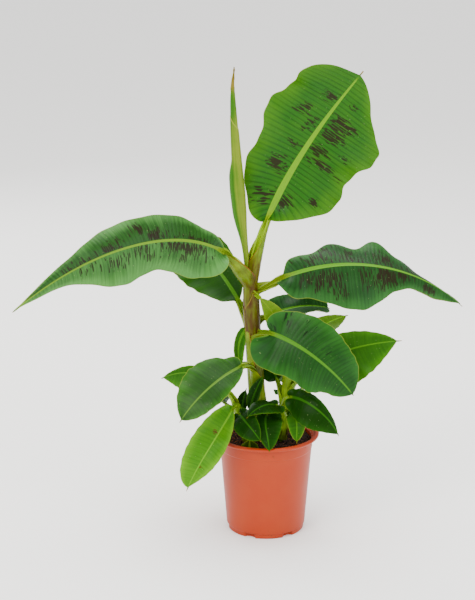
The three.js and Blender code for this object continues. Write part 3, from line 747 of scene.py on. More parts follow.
LEAVES = (
    LeafShape(
        "leaf_tall", "main", 470, 25, 97, 51, 100, 300, (15, 9), ((-0.2, -1, 0.3), (0.4, -0.9, 0.1)),
        (96, 109), aside=(6, 3), neck=1.45, midrib=1, swing=-44, ease=0.32, base=(0.47, 0.9),
        point=(0.2, 0.75), scallop=(0.07, 0.14), lobes=(3.1, 2.5), shift=(0.45, 0.6), ruffle=(12, 16),
        waves=(2.2, 2.6), phase=(0.3, 0.1), fold=((4, 4), (4, 4)), curl=((8, 8), (-6, -6)), auricle=-62,
        sweep=(0, -5), tone=Tone.LIT, drip=9,
        blotches=((0, 0.81, 0.2, 0.03, 0.15, 1.1), (0, 0.66, 0.42, 0.035, 0.14, 0.95),
                  (0, 0.61, 0.18, 0.04, 0.1, 1.0), (0, 0.46, 0.24, 0.025, 0.15, 0.9),
                  (0, 0.33, 0.34, 0.05, 0.22, 1.1), (0, 0.14, 0.42, 0.05, 0.35, 0.8),
                  (1, 0.69, 0.24, 0.045, 0.22, 1.25), (1, 0.61, 0.2, 0.035, 0.18, 1.2),
                  (1, 0.71, 0.48, 0.02, 0.12, 0.9), (1, 0.83, 0.4, 0.02, 0.1, 0.95),
                  (1, 0.5, 0.24, 0.03, 0.18, 1.05), (1, 0.44, 0.4, 0.03, 0.35, 0.95),
                  (1, 0.54, 0.65, 0.015, 0.1, 0.95), (1, 0.14, 0.28, 0.05, 0.2, 1.1),
                  (1, 0.25, 0.7, 0.015, 0.08, 1.1))),
    LeafShape(
        "leaf_left", "main", 442, -133, 98, -36, 105, 420, (20, 10), ((0.3, -1, 0.4), (0.4, -1.2, 0.1)),
        (62, 47), aside=(-3, -5), swing=-26, ease=0.45, base=(0.54, 0.8), point=(1.37, 1.55),
        scallop=(0.2, 0), lobes=(2.1, 2), shift=(0.08, 0), ruffle=(8, 10), waves=(2, 2.3),
        phase=(0.2, 0.6), fold=((-4, 20), (-10, 20)), curl=((-20, -20), (-30, -30)), auricle=-50,
        # Its left half is painted paler as a painted sheen, and its right half darker as painted shade.
        sweep=(14, 20), tone=Tone.WAXY, drip=5, neck=1.5, midrib=0.3, painted_sheen_and_shade=(0.35, -0.15),
        blotches=((0, 0.22, 0.1, 0.14, 0.36, 1.25), (0, 0.41, 0.2, 0.05, 0.28, 0.9),
                  (0, 0.54, 0.33, 0.06, 0.22, 0.7), (0, 0.66, 0.2, 0.06, 0.3, 0.6),
                  (1, 0.41, 0.5, 0.03, 0.25, 0.9), (1, 0.34, 0.2, 0.05, 0.25, 1.1),
                  (1, 0.54, 0.15, 0.07, 0.3, 0.9), (1, 0.68, 0.1, 0.09, 0.4, 0.9),
                  (1, 0.15, 0.1, 0.1, 0.2, 0.8))),
    LeafShape(
        "leaf_right", "main", 427, 4, 47, -42, 65, 375, (16, 9), ((0.1, -1, 0.9), (0.3, 0, 1)), (60, 74),
        swing=25, neck=1.45, midrib=0.55, ease=0.68, base=(0.87, 0.2), point=(1.05, 1.05),
        scallop=(0.17, 0.33), lobes=(4.9, 1.7), shift=(0.86, 0.57), ruffle=(8, 8), waves=(2.2, 1.6),
        phase=(0.1, 0.5), fold=((6, 0), (-10, -35)), curl=((-22, -22), (-25, -25)), auricle=-50,
        sweep=(7, 25), tone=Tone.BLUISH_IN_SHADE, drip=6,
        blotches=((1, 0.17, 0.36, 0.07, 0.34, 0.75), (1, 0.25, 0.42, 0.05, 0.3, 0.9),
                  (1, 0.42, 0.3, 0.05, 0.3, 0.8), (1, 0.52, 0.35, 0.07, 0.4, 1.3),
                  (1, 0.61, 0.25, 0.06, 0.35, 1.0), (1, 0.78, 0.6, 0.05, 0.3, 1.2),
                  (0, 0.2, 0.5, 0.13, 0.5, 0.6), (0, 0.36, 0.3, 0.08, 0.35, 0.7),
                  (0, 0.52, 0.25, 0.07, 0.3, 0.9), (0, 0.72, 0.2, 0.08, 0.4, 0.5))),
    LeafShape(
        "leaf_back_left", "main", 349, 133, 75, 17, 75, 168, (13, 8), ((0, -1, 0.9), (-0.2, -0.6, 0.9)),
        (70, 43), ease=0.67, base=(0.7, 0.8), point=(0.45, 0.45), ruffle=(6, 6), auricle=-35,
        sweep=(6, 20), tone=Tone.RIPE, neck=1.3),
    LeafShape(
        "leaf_back_right", "main", 382, 36, 14, -19, 33, 125, (10, 7),
        ((-0.2, -0.9, 0.9), (-0.1, -0.9, 0.9)), (31, 43), swing=-15, ease=1.8, base=(0.4, 0.45),
        point=(0.5, 0.5), ruffle=(3, 4), fold=((10, 10), (20, 20)), curl=((0, 0), (40, 40)),
        tone=Tone.BLUISH_IN_SHADE),
    LeafShape(
        "leaf_back", "main", 262, 95, 30, -60, 55, 165, (11, 7), ((-0.1, 0.5, 1), (0.1, 0.8, 0.6)),
        (42, 42), swing=-60, point=(0.6, 0.6), ruffle=(4, 4), tone=Tone.DARK,
        blotches=((0, 0.4, 0.4, 0.2, 0.4, 0.5), (1, 0.6, 0.3, 0.2, 0.4, 0.5))),
    LeafShape(
        "leaf_young", "main", 442, -12, -20, -64, 18, 80, (8, 5), ((-0.3, -1, 0.3), (-0.4, -1, 0.5)),
        (19, 20), aside=(2, -9), swing=12, ease=0.4, base=(1, 1), point=(0.55, 0.55), auricle=-10,
        sweep=(5, 10), tone=Tone.FRESH, midrib=0.3),
    LeafShape(
        "leaf_front_right", "main", 360, -48, 80, -54, 46, 185, (14, 8),
        ((-0.4, -1, 0.5), (-0.5, -1, 0.8)), (62, 64), swing=59, ease=0.29, base=(0.38, 0.2),
        point=(0.68, 0.64), scallop=(-0.03, 0.07), lobes=(2, 2.2), shift=(0.07, 0.13), ruffle=(5, 6),
        waves=(2, 2.4), fold=((4, 4), (4, 4)), curl=((-16, -16), (-16, -16)), auricle=-62, sweep=(24, 4),
        tone=Tone.DARK, midrib=0.8,
        blotches=((0, 0.15, 0.5, 0.2, 0.5, 0.2), (0, 0.4, 0.3, 0.25, 0.4, 0.15))),
    LeafShape(
        "leaf_front_left", "main", 247, -87, 112, -56, 130, 156, (9, 7),
        ((-0.2, -1, 0.9), (-0.2, -1, 0.9)), (34, 52), swing=-78, ease=0.57, base=(0.85, 0.65),
        point=(0.75, 0.85), fold=((5, 5), (5, 5)), curl=((-14, -14), (-14, -14)), tone=Tone.DULL,
        midrib=0.6, drip=6),
    LeafShape(
        "leaf_narrow", "main", 378, 180, 4, -104, 13, 69, (8, 6), ((-0.4, -1, 0.2), (-0.4, -1, 0.2)),
        (13, 10), ease=0.41, base=(0.43, 0.28), point=(0.46, 0.6), fold=((15, 15), (15, 15)),
        tone=Tone.YOUNG),
    LeafShape(
        "left_sucker_leaf_hanging", "left", 240, -98, 48, -68, 22, 170, (8, 5),
        ((-0.1, -1, 0.2), (-0.1, -1, 0.2)), (27, 37), swing=-90, ease=0.26, base=(1.1, 0.6),
        point=(1.05, 0.6), tone=Tone.BRIGHT_LIT_THROUGH, drip=8, midrib=0.45,
        blotches=((0, 0.28, 0.1, 0.04, 0.25, 0.9), (0, 0.74, 0.1, 0.02, 0.2, 0.9),
                  (1, 0.35, 0.1, 0.03, 0.25, 0.9))),
    LeafShape(
        "left_sucker_leaf_side", "left", 225, 156, 79, -25, 56, 111, (8, 5),
        ((0, -0.8, 0.9), (0, -0.7, 1)), (50, 16), swing=22, ease=0.8, point=(0.95, 0.85), tone=Tone.YOUNG,
        neck=1.5, midrib=0.5),
    LeafShape(
        "left_sucker_leaf_back", "left", 214, 145, 35, -50, 40, 120, (8, 5),
        ((-0.2, 0.5, 1), (-0.2, 0.8, 0.6)), (30, 30), swing=-55, tone=Tone.DARK),
    LeafShape(
        "left_sucker_leaf_front", "left", 200, -122, 101, -54, 48, 73, (8, 5),
        ((-0.2, -1, 0.6), (-0.2, -1, 0.6)), (20, 25), swing=100, ease=0.55, base=(0.37, 0.52),
        point=(0.75, 0.7), fold=((4, 4), (4, 4)), curl=((-20, -20), (-20, -20))),
    LeafShape(
        "left_sucker_leaf_upright", "left", 191, 121, 67, 61, 30, 38, (6, 4),
        ((0, -1, 0.5), (0, -1, 0.5)), (11, 9), swing=-76, point=(0.8, 0.8)),
    LeafShape(
        "right_sucker_leaf_side", "right", 248, 2, 109, 2, 57, 175, (11, 6),
        ((-0.1, -1, 0.7), (-0.1, -1, 0.7)), (34, 67), swing=6, ease=0.29, base=(0.48, 0.5),
        point=(0.84, 1), tone=Tone.YOUNG, drip=9, neck=1.5, midrib=0.5),
    LeafShape(
        "right_sucker_leaf_back", "right", 263, 37, 93, 16, 79, 99, (9, 5),
        ((-0.2, 1, 0.4), (-0.2, 1, 0.3)), (33, 22), swing=-42, ease=0.78, base=(0.5, 0.4), point=(0.8, 1),
        fold=((14, 14), (14, 14)), tone=Tone.BRIGHT_LIT_THROUGH, neck=1.6, midrib=0.45),
    LeafShape(
        "right_sucker_leaf_inner", "right", 229, 152, 77, 42, 49, 60, (7, 5),
        ((0.2, -1, 0.5), (0.2, -1, 0.5)), (25, 19), swing=-21, base=(0.43, 0.5), point=(0.73, 0.64),
        neck=1.5, midrib=0.5),
    LeafShape(
        "right_sucker_leaf_low", "right", 200, 82, 55, -75, 50, 120, (8, 5), ((0, 0.5, 1), (0, 0.8, 0.6)),
        (28, 28), tone=Tone.DARK),
    LeafShape(
        "right_sucker_leaf_crossing", "right", 203, -96, 56, -45, 53, 75, (6, 5),
        ((0.1, -0.7, 0.9), (0, -0.6, 1)), (25, 23), swing=-62, ease=1.6, base=(0.4, 0.5), point=(1, 0.7),
        fold=((6, 6), (-10, -10)), curl=((0, 0), (-30, -30))),
    LeafShape(
        "right_sucker_leaf_front", "right", 215, -90, 104, -66, 53, 126, (9, 6),
        ((-0.2, -1.1, 0.6), (-0.1, -1, 0.9)), (20, 39), swing=94, ease=0.6, base=(0.37, 0.57),
        point=(1, 0.85), fold=((-4, -4), (-4, -4)), curl=((-20, -20), (-20, -20))),
    LeafShape(
        "right_sucker_leaf_small", "right", 193, -44, 101, -102, 45, 74, (6, 4),
        ((0, -1, 0.4), (0, -1, 0.4)), (19, 17), swing=-55, ease=0.91, base=(0.42, 0.45),
        point=(0.78, 0.7), fold=((20, 20), (0, 0)), tone=Tone.YOUNG, drip=6),
    LeafShape(
        "right_sucker_leaf_rim", "right", 192, -151, 70, -84, 64, 79, (8, 5),
        ((0, -1, 0.5), (0.1, -1, 0.5)), (30, 18), swing=96, base=(0.26, 0.43), point=(0.75, 0.74),
        curl=((-10, -10), (-10, -10))),
    LeafShape(
        "shoot_tall", None, 165, -20, 97, 61, 64, 66, (9, 5), ((-0.4, -1, 0.2), (-0.4, -1, 0.2)),
        (12, 13), aside=(-31, -24), swing=20, base=(0.7, 0.7), point=(0.9, 0.9),
        fold=((20, 20), (20, 20)), drip=0),
    LeafShape(
        "shoot_low", None, 165, -90, 78, 65, 6, 20, (6, 5), ((0, -1, 0.5), (0, -1, 0.5)), (16, 16),
        aside=(-30, -60), base=(0.15, 0.15), point=(1, 1), fold=((10, 10), (10, 10)), tone=Tone.SHOOT,
        drip=0),
)

BLADE_FINISHES = {tone: BladeFinish(tone.value, *greens, **rest) for tone, greens, rest in (
    (Tone.LIT, ("1c520c", "346602", "5c8a04", "7c9c0c", "44621c"), {"line": 0.9, "vein": 8.0}),
    (Tone.WAXY, ("1c4412", "447a34", "5c8010", "66800a", "44621c"), {"line": 0.7, "coat": 0.1}),
    (Tone.BLUISH_IN_SHADE, ("133a10", "275a20", "4a7e10", "62780a", "3c5a24"), {"line": 0.85, "coat": 0.06}),
    (Tone.DARK, ("0f3a0a", "1e5412", "3c700c", "56740a", "34501c", "081a04"), {"line": 0.7, "coat": 0.04}),
    (Tone.DULL, ("183c08", "285a0c", "4c701c", "567408", "3a5626"), {"line": 0.5, "coat": 0.06}),
    (Tone.BRIGHT_LIT_THROUGH, ("346c01", "568c02", "5c9008", "5c8006", "4a6a12", "4a2208"), {}),
    (Tone.YOUNG, ("1e4c01", "306602", "40720a", "587c04", "3e5e10"), {"shine": 0.06}),
    (Tone.RIPE, ("123801", "1e4a02", "3a6c0a", "567a04", "34520c"), {"shine": 0.06}),
    (Tone.FRESH, ("4c6e01", "5c7c01", "5a7802", "648002", "4c6410"), {"line": 0.1}),
    (Tone.DEEP_IN_SHADE, ("0a2a01", "143e02", "205004", "587a08", "284010"),
     {"margin": "3a5c0c", "roughness": 0.36, "shine": 0.04}),
    (Tone.SHOOT, ("2e4a06", "4c6810", "6a8424", "566c1a", "4c5e26"), {}),
)}


@dataclass
class Leaf:
    """A leaf's fine mesh: channelled stalk, midrib, ribbed blade and thin margin.

    The stalk is slimmer by the share `tuck` as far as its sheath holds it, and comes back to its own
    width over `tuck_run`. The side veins start to lean within `neck_run` below the blade. The blade is
    `sheet` thick, with a dry margin as wide as `rim`, and swells up and down by `undulation`. Its upper
    side is ribbed by `relief`. Its midrib is channelled by the share `channel` of its half width and
    bulges below by the share `bulge`.
    """

    shape: LeafShape
    seed: int
    tuck: float = 0
    tuck_run: float = 22
    neck_run: float = 30
    sheet: float = 0.7
    rim: float = 1.4
    relief: float = 0.38
    undulation: float = 1.6
    channel: float = 0.3
    bulge: float = 0.9

    @property
    def large(self) -> bool:
        """Tell whether the blade is over 180 mm long, so that its mesh is finer."""
        return self.shape.blade > 180

    @property
    def vein(self) -> float:
        """Give the distance between the side veins, in millimetres."""
        return 7.0 if self.large else 4.0

    def foot(self) -> np.ndarray:
        """Find where the rib starts.

        Returns:
            The place on its stem or in the soil, in millimetres.
        """
        shape = self.shape
        start = STEMS[shape.stem].centre(shape.foot) if shape.stem else np.array([0.0, 0.0, shape.foot])
        return start + np.array([*shape.aside, 0.0])

    def rib(self, s: np.ndarray) -> tuple[np.ndarray, np.ndarray]:
        """Follow the rib.

        Args:
            s: distances along the rib in millimetres.

        Returns:
            The places and the directions there.
        """
        shape = self.shape
        length = shape.petiole + shape.blade

        def direction(t: np.ndarray) -> np.ndarray:
            """Point along the rib.

            Args:
                t: shares of its length.

            Returns:
                The directions there.
            """
            pitch = np.radians(shape.rise + (shape.fall - shape.rise) * t ** shape.ease)
            turn = np.radians(shape.heading + shape.swing * t)
            return direction_of(pitch, turn)

        steps = 400
        middles = (np.arange(steps) + 0.5) / steps
        path = np.vstack([np.zeros(3), np.cumsum(direction(middles), axis=0) * length / steps]) + self.foot()
        along = np.linspace(0, length, steps + 1)
        places = np.stack([np.interp(s, along, path[:, axis]) for axis in range(3)], axis=-1)
        way = direction(np.minimum(s, length) / length)
        return places + way * np.maximum(0, s - length)[:, None], way

    def reach(self, side: int, u: np.ndarray) -> np.ndarray:
        """Give a half blade's outline.

        Args:
            side: 0 for the left half and 1 for the right one.
            u: share of the blade's length.

        Returns:
            The distance from the rib to the margin.
        """
        shape = self.shape
        base, point = shape.base[side], shape.point[side]
        widest = base / (base + point)
        peak = widest ** base * (1 - widest) ** point
        wave = 1 + shape.scallop[side] * np.sin(2 * math.pi * (shape.lobes[side] * u + shape.shift[side]))
        ragged = 1 + 0.012 * np.sin(2 * math.pi * (9.3 * u + 0.37 * self.seed + 0.5 * side))
        return shape.width[side] * wave * ragged * u ** base * (1 - u) ** point / peak

    def stations(self) -> np.ndarray:
        """Cut the leaf into rings.

        Returns:
            Their distances along the rib, closer together at the ends of the blade.
        """
        shape = self.shape
        stalk = np.arange(0, shape.petiole, 4.0)
        count = int(shape.blade / self.vein * 6) if self.large else 110
        t = np.linspace(0, 1, count)
        close = 0.8 * t + 0.2 * (1 - np.cos(math.pi * t)) / 2
        drip = np.arange(1, shape.drip + 1)
        length = shape.petiole + shape.blade
        return np.concatenate([stalk, shape.petiole + shape.blade * close, length + drip])

    def half(self, side: int, s: np.ndarray) -> dict[str, np.ndarray]:
        """Lay out one half of the leaf.

        Args:
            side: 0 for the left half and 1 for the right one.
            s: distances along the rib, one for each ring.

        Returns:
            The upper and lower places, the chart and the marks, from the rib out to the margin.
        """
        shape = self.shape
        sign = 1 if side else -1
        u = np.clip((s - shape.petiole) / shape.blade, 0, 1)[:, None]
        centre, along = (v[:, None, :] for v in self.rib(s))
        at_base, at_tip = (unit(np.array(v, dtype=float)) for v in shape.facing)
        right = unit(np.cross(along, at_base + (at_tip - at_base) * u[..., None]))
        up = unit(np.cross(right, along))
        run = min(self.neck_run, shape.petiole * 0.6)
        neck = smooth(s, shape.petiole - run, shape.petiole)[:, None]
        middle, tip = shape.sweep
        sweep = np.radians(neck * (shape.auricle * (1 - u) ** 6 + middle + (tip - middle) * u ** 4))
        blade = smooth(u, 0, 0.12)
        held = self.tuck * (1 - smooth(s, shape.petiole - self.tuck_run, shape.petiole))
        stalk = (shape.stalk_width(s) * (1 - held))[:, None] / 2
        rib = stalk * (1 - 0.85 * u) * (1 - (1 - shape.midrib) * smooth(u, 0, 0.06))
        on_stalk = (s < shape.petiole)[:, None]
        reach = np.maximum(np.where(u > 0, self.reach(side, u), 0), np.where(on_stalk, stalk, rib))
        beyond = np.maximum(0, s - shape.petiole - shape.blade)[:, None]
        reach = np.maximum(reach, 1.2 - 0.8 * beyond / max(shape.drip, 1))
        inner = np.minimum(rib, 0.5 * reach)
        room = reach - inner
        t = np.linspace(0, 1, 18 if self.large else 10)[None, :]
        low = inner + np.minimum(0.9, 0.25 * room)
        high = reach - np.minimum(self.rim, 0.25 * room)
        x = np.concatenate([0 * inner, 0.5 * inner, inner, low + (high - low) * t, reach], axis=1)
        f = x / reach
        fold0, fold1 = shape.fold[side]
        curl0, curl1 = shape.curl[side]
        fold = np.radians(30 * (1 - blade) + (fold0 + (fold1 - fold0) * u) * blade)
        curl = np.radians(45 * (1 - blade) + (curl0 + (curl1 - curl0) * u) * blade)
        curl = np.where(np.abs(curl) < 1e-4, 1e-4, curl)
        out = reach * (np.sin(fold + curl * f) - np.sin(fold)) / curl
        lift = reach * (np.cos(fold) - np.cos(fold + curl * f)) / curl
        wave = np.sin(2 * math.pi * (shape.waves[side] * u + shape.phase[side]))
        belly = np.sqrt(np.maximum(0, np.sin(math.pi * u)))
        ruffle = shape.ruffle[side] * f ** 2 * wave * belly
        small_wave = np.sin(2 * math.pi * (shape.waves[side] * 3.3 * u + 0.23 * self.seed))
        crimp = 0.02 * reach * f ** 3 * small_wave * belly
        flat = np.stack(np.broadcast_arrays(s[:, None], sign * x), axis=-1)
        swell = self.undulation * lumps(flat, 60, self.seed) * smooth(f, 0.05, 0.8) * belly
        groove = np.abs(np.sin(math.pi * s / self.vein))[:, None] - 0.6
        ribbed = self.relief * self.vein / 7 * groove * smooth(f, 0.04, 0.2) * (1 - 0.4 * f ** 2) * blade
        ribbed = ribbed * smooth(1 - u, 0, 0.1)
        channel = -self.channel * rib * np.maximum(0, 1 - (x / rib) ** 2) * blade
        forward = out * np.sin(sweep) * f ** 0.5
        height = lift + ruffle + crimp + swell + ribbed + channel
        upper = (centre + along * forward[..., None] + right * (sign * out * np.cos(sweep))[..., None]
                 + up * height[..., None])
        tilt = fold + curl * f
        depth = self.sheet + self.bulge * np.sqrt(np.maximum(0, 1 - (x / rib) ** 2)) * rib
        sideways = right * (sign * depth * np.sin(tilt))[..., None]
        lower = upper - up * (depth * np.cos(tilt))[..., None] + sideways
        blotched = 0 * x
        for which, at, over, run, spread, strength in shape.blotches:
            if which == side:
                near = np.exp(-((u - at) / run) ** 2 - ((f - over) / spread) ** 2)
                blotched = np.maximum(blotched, strength * near)
        blotched = np.where(blotched > 0.08, np.minimum(blotched, 1), 0)
        return {
            "upper": upper,
            "lower": lower,
            "chart": flat * MM,
            # `painted_sheen_and_shade` raises a half's tone for a painted sheen and lowers it for painted
            # shade.
            "tone": smooth(f, 0.5, 1.1) * 0.9 + 0.2 * smooth(u, 0.6, 1) + shape.painted_sheen_and_shade[side] + 0 * x,
            "blotch": blotched * smooth(x - rib, 0, 2),
            "rib": np.clip(1 - (x - rib) / 0.9, 0, 1) * smooth(1 - u, 0, 0.05),
            "stalk": (1 - smooth(u, 0, 0.1)) * np.clip(1 - (x - rib) / 0.9, 0, 1),
            "margin": np.clip(1 - (reach - x) / self.rim, 0, 1) * smooth(u, 0, 0.03) * 0.9 * (beyond == 0),
            "brown": smooth(beyond, 0, 5) + 0 * x,
        }

    def build(self, finish: Material) -> Piece:
        """Make the leaf's mesh.

        Args:
            finish: the blade's material.

        Returns:
            One closed mesh.
        """
        s = self.stations()
        left, right = self.half(0, s), self.half(1, s)

        def across(key: str, under: str | None = None) -> np.ndarray:
            """Join both halves of one layer: over from the left margin, then back underneath.

            Args:
                key: what is joined on the upper side.
                under: what is joined on the lower side, if it isn't the same.

            Returns:
                The values of each ring in the order of its points.
            """
            over = np.concatenate([left[key][:, :0:-1], right[key]], axis=1)
            below = np.concatenate([left[under or key][:, :0:-1], right[under or key]], axis=1)
            return np.concatenate([over, below[:, ::-1]], axis=1)

        rings = across("upper", "lower")
        marks = {key: across(key) for key in ("tone", "blotch", "rib", "stalk", "margin", "brown")}
        half = rings.shape[1] // 2
        marks["under"] = np.broadcast_to((np.arange(2 * half) >= half) * 0.75, rings.shape[:2])
        marks["blotch"] = marks["blotch"] * (1 - marks["under"])
        return mesh_piece(self.shape.node + "_blade", rings, finish, marks, across("chart"))


@dataclass
class Foliage:
    """All the leaves."""

    def build(self) -> None:
        """Build each leaf in its own finish."""
        finishes = {tone: finish.material() for tone, finish in BLADE_FINISHES.items()}
        tucks = {sheath.leaf: sheath.tuck for sheath in SHEATHS}
        for seed, shape in enumerate(LEAVES, 1):
            leaf = Leaf(shape, seed, tucks.get(shape.node, 0))
            settle(leaf.build(finishes[shape.tone]), "leaf", shape.node)


@dataclass(frozen=True)
class Sheath:
    """A leaf's sheath, which wraps its stem from the height `low` and narrows along its leaf's stalk.

    It opens towards `mouth`. Its margins reach `closed` degrees to either side of its back, so they
    overlap, up to the height `split`. They then part, until at `out` along the stalk they reach `hold`
    degrees. Its outside stands `proud` off the stem's radius.
    It stays on the stem up to `leave` above the leaf's foot, and turns off over `bend` to either side.
    `dry` is the height below which it is brown and the height from which it is green, and it turns green
    at the latest `clean` past where it leaves the stem. `swell` makes it thicker there, `taper` above 1
    keeps it wide for longer, `haste` parts its margins sooner, and its dry margin ends `bare` before its
    end. It is `thick` at its back, and its parted margins stand off by `flare` more. `tuck` is how much
    slimmer the stalk is inside it. Lengths are in millimetres.
    """

    leaf: str
    low: float
    split: float
    out: float
    mouth: tuple[float, float, float]
    proud: float
    age: Age = Age.OLD
    dry: Pair = (170, 230)
    hold: float = 95
    bend: float = 22
    leave: float = 0
    taper: float = 1
    swell: float = 0
    thick: float = 1.0
    flare: float = 0.8
    bare: float = 20
    haste: float = 1.6
    clean: float = 30
    tuck: float = 0.45
    closed: float = 186
    columns: int = 49

    def path(self) -> tuple[np.ndarray, np.ndarray, np.ndarray]:
        """Follow the sheath up its stem and out along its leaf.

        Returns:
            The middle of each ring, the radius there, and how far it is past the turn.
        """
        leaf = Leaf(next(shape for shape in LEAVES if shape.node == self.leaf), 0)
        shape = leaf.shape
        stem = STEMS[shape.stem]
        turn = shape.foot + self.leave - self.bend
        low = np.arange(self.low, turn, 2.0)
        corner = np.linspace(0, 1, 20)[:, None]
        rib = leaf.rib(np.arange(self.bend + 1.5 * self.leave, self.out, 2.0))[0]
        knee = leaf.foot() + np.array([0, 0, self.leave])
        ends = (1 - corner) ** 2 * stem.centre(turn) + corner ** 2 * rib[0]
        middle = np.concatenate([stem.centre(low), ends + 2 * corner * (1 - corner) * knee, rib[1:]])
        run = np.concatenate([[0], np.cumsum(np.linalg.norm(np.diff(middle, axis=0), axis=1))])
        start, end = run[len(low)], run[-1]
        wide = stem.radius(np.minimum(middle[:, 2], turn)) + self.proud
        narrow = shape.stalk_width(self.out) / 2 + 0.3
        leaving = np.clip((run - start) / (end - start), 0, 1)
        bulge = self.swell * np.sin(math.pi * leaving) ** 2
        return middle, wide + (narrow - wide) * smooth(run, start, end) ** self.taper + bulge, run - start

    def rings(self) -> tuple[np.ndarray, dict[str, np.ndarray]]:
        """Lay out the sheath.

        Returns:
            Its rings of points in millimetres, and its marks.
        """
        middle, radius, past = self.path()
        way = unit(np.gradient(middle, axis=0))
        run = past - past[0]
        mouth = np.array(self.mouth, dtype=float)
        back = -unit(mouth - way * (way @ mouth)[:, None])
        side = np.cross(way, back)
        height = middle[:, 2]
        apart = np.maximum(0, run - run[np.argmax(height >= self.split)])
        parted = 1 - (1 - apart / apart.max()) ** self.haste
        half = np.radians(self.closed + (self.hold - self.closed) * parted)[:, None]
        across = np.sin(np.linspace(-1, 1, self.columns) * math.pi / 2)[None, :]
        angle = across * half
        spoke = back[:, None, :] * np.cos(angle)[..., None] + side[:, None, :] * np.sin(angle)[..., None]
        edge = smooth(np.abs(across), 0.93, 1)
        ending = smooth(run[-1] - run, self.bare, self.bare + 30)[:, None]
        fibre = 0.18 * np.sin(angle * 23) + 0.12 * np.sin(angle * 41 + run[:, None] * 0.03)
        lap = 0.25 * across * (1 - parted[:, None])
        out = radius[:, None] + fibre + lap + self.flare * edge * parted[:, None]
        sheet = self.thick * (1 - 0.6 * np.abs(across) ** 3)
        outer = middle[:, None, :] + spoke * out[..., None]
        inner = middle[:, None, :] + spoke * (out - sheet)[..., None]
        straight = np.stack(np.broadcast_arrays(
            radius[:, None] * np.cos(angle), radius[:, None] * np.sin(angle), run[:, None]), axis=-1) * MM
        dry = ((1 - smooth(height, *self.dry)) * (1 - smooth(past, 0, self.clean)))[:, None]
        dry = dry * (0.6 + 0.4 * np.abs(across))
        margin = edge * (0.35 + 0.65 * parted[:, None]) * ending
        stain = 0.15 + 0.55 * dry + 0.2 * edge * ending
        marks = {
            "straight": np.concatenate([straight, straight[:, ::-1]], axis=1),
            "stain": np.concatenate([stain, 0.4 * dry], axis=1),
            "margin": np.concatenate([margin, 0 * margin], axis=1),
            "inside": np.concatenate([0 * margin, 1 + 0 * margin], axis=1),
        }
        return np.concatenate([outer, inner[:, ::-1]], axis=1), marks


SHEATH_FINISHES = {age: SheathFinish(age.value, *colours) for age, colours in (
    # The red-edged sheaths take a paler inside green, last in their row, as more painted light in their open
    # channels.
    (Age.RED_EDGED, ("4e6802", "6c8404", "402804", "4c4a02", "7a2e14", "b0c828")),
    (Age.OLD, ("4e6802", "6c8404", "402804", "4c4a02", "8a7c1c")),
    (Age.YOUNG, ("608604", "84a808", "2a2004", "466404", "788c0e")),
)}

SHEATHS = (
    Sheath("leaf_front_left", 166, 196, 133, (0.9, 0.3, 0.2), 2.3, dry=(165, 215), hold=85),
    Sheath("leaf_back", 168, 190, 58, (-0.2, -1, 0.6), -0.2, dry=(150, 160), hold=85),
    Sheath("leaf_back_left", 168, 195, 80, (0.9, -0.45, 0.3), 1.7, dry=(150, 210), bend=16, leave=26,
           hold=80, flare=0.6, age=Age.RED_EDGED),
    Sheath("leaf_narrow", 168, 200, 15, (1, -0.2, 0.3), -0.4, dry=(150, 160), bend=9),
    Sheath("leaf_front_right", 168, 300, 50, (-0.67, 0.74, 0.5), 1.3, dry=(300, 350), bend=18, hold=60),
    Sheath("leaf_back_right", 168, 300, 36, (-0.5, -0.85, 0.3), 1.0, dry=(420, 460), bend=14, flare=0.4),
    Sheath("leaf_right", 168, 405, 68, (-0.75, -0.35, 0.7), 0.6, dry=(448, 468), bend=14, leave=24,
           hold=68, taper=1.3, swell=1.5, flare=1.2, haste=3, clean=12),
    Sheath("leaf_left", 168, 436, 109, (0.75, 0.2, 0.75), -0.5, dry=(450, 520), bend=14, leave=20,
           hold=98, taper=2.0, swell=3.5, flare=1.8, bare=2, clean=90, age=Age.RED_EDGED),
    Sheath("leaf_tall", 340, 486, 104, (-0.85, -0.5, 0.2), -0.8, dry=(486, 516), hold=80, taper=2.2,
           swell=1.0, bare=35, haste=2.2, clean=300, tuck=0.1, age=Age.RED_EDGED),
    Sheath("left_sucker_leaf_side", 168, 200, 58, (0.8, -0.4, 0.7), -0.1, dry=(150, 190), taper=1.6,
           swell=0.5, age=Age.YOUNG),
    Sheath("left_sucker_leaf_front", 168, 180, 50, (0.2, 0.8, 0.6), 0.2, dry=(150, 190), taper=1.5,
           age=Age.YOUNG),
    Sheath("left_sucker_leaf_hanging", 170, 212, 24, (0.2, 0.8, 0.6), -0.3, dry=(150, 180), bend=10,
           age=Age.YOUNG),
    Sheath("right_sucker_leaf_crossing", 168, 182, 55, (0.5, 0.8, 0.6), 0.3, dry=(170, 230), taper=1.4,
           age=Age.YOUNG),
    Sheath("right_sucker_leaf_front", 168, 190, 55, (0.2, 1, 0.4), 0.1, dry=(170, 230), taper=1.6,
           swell=0.5, age=Age.YOUNG),
    Sheath("right_sucker_leaf_inner", 168, 196, 51, (0.7, -0.5, 0.6), 0, dry=(170, 215), taper=1.8,
           swell=1.0, age=Age.YOUNG),
    Sheath("right_sucker_leaf_side", 170, 205, 60, (-0.9, -0.3, 0.5), -0.1, dry=(180, 230), taper=2.0,
           swell=1.5, age=Age.YOUNG),
    Sheath("right_sucker_leaf_back", 172, 215, 82, (-0.5, 0.6, 0.4), -0.4, dry=(180, 230), taper=2.0,
           swell=1.0, age=Age.YOUNG),
)


@dataclass
class Sheaths:
    """The leaf sheaths that make up the outside of the stems."""

    def build(self) -> None:
        """Build every sheath."""
        finishes = {age: finish.material() for age, finish in SHEATH_FINISHES.items()}
        for sheath in SHEATHS:
            rings, marks = sheath.rings()
            settle(mesh_piece(sheath.leaf + "_sheath", rings, finishes[sheath.age], marks), "stem")


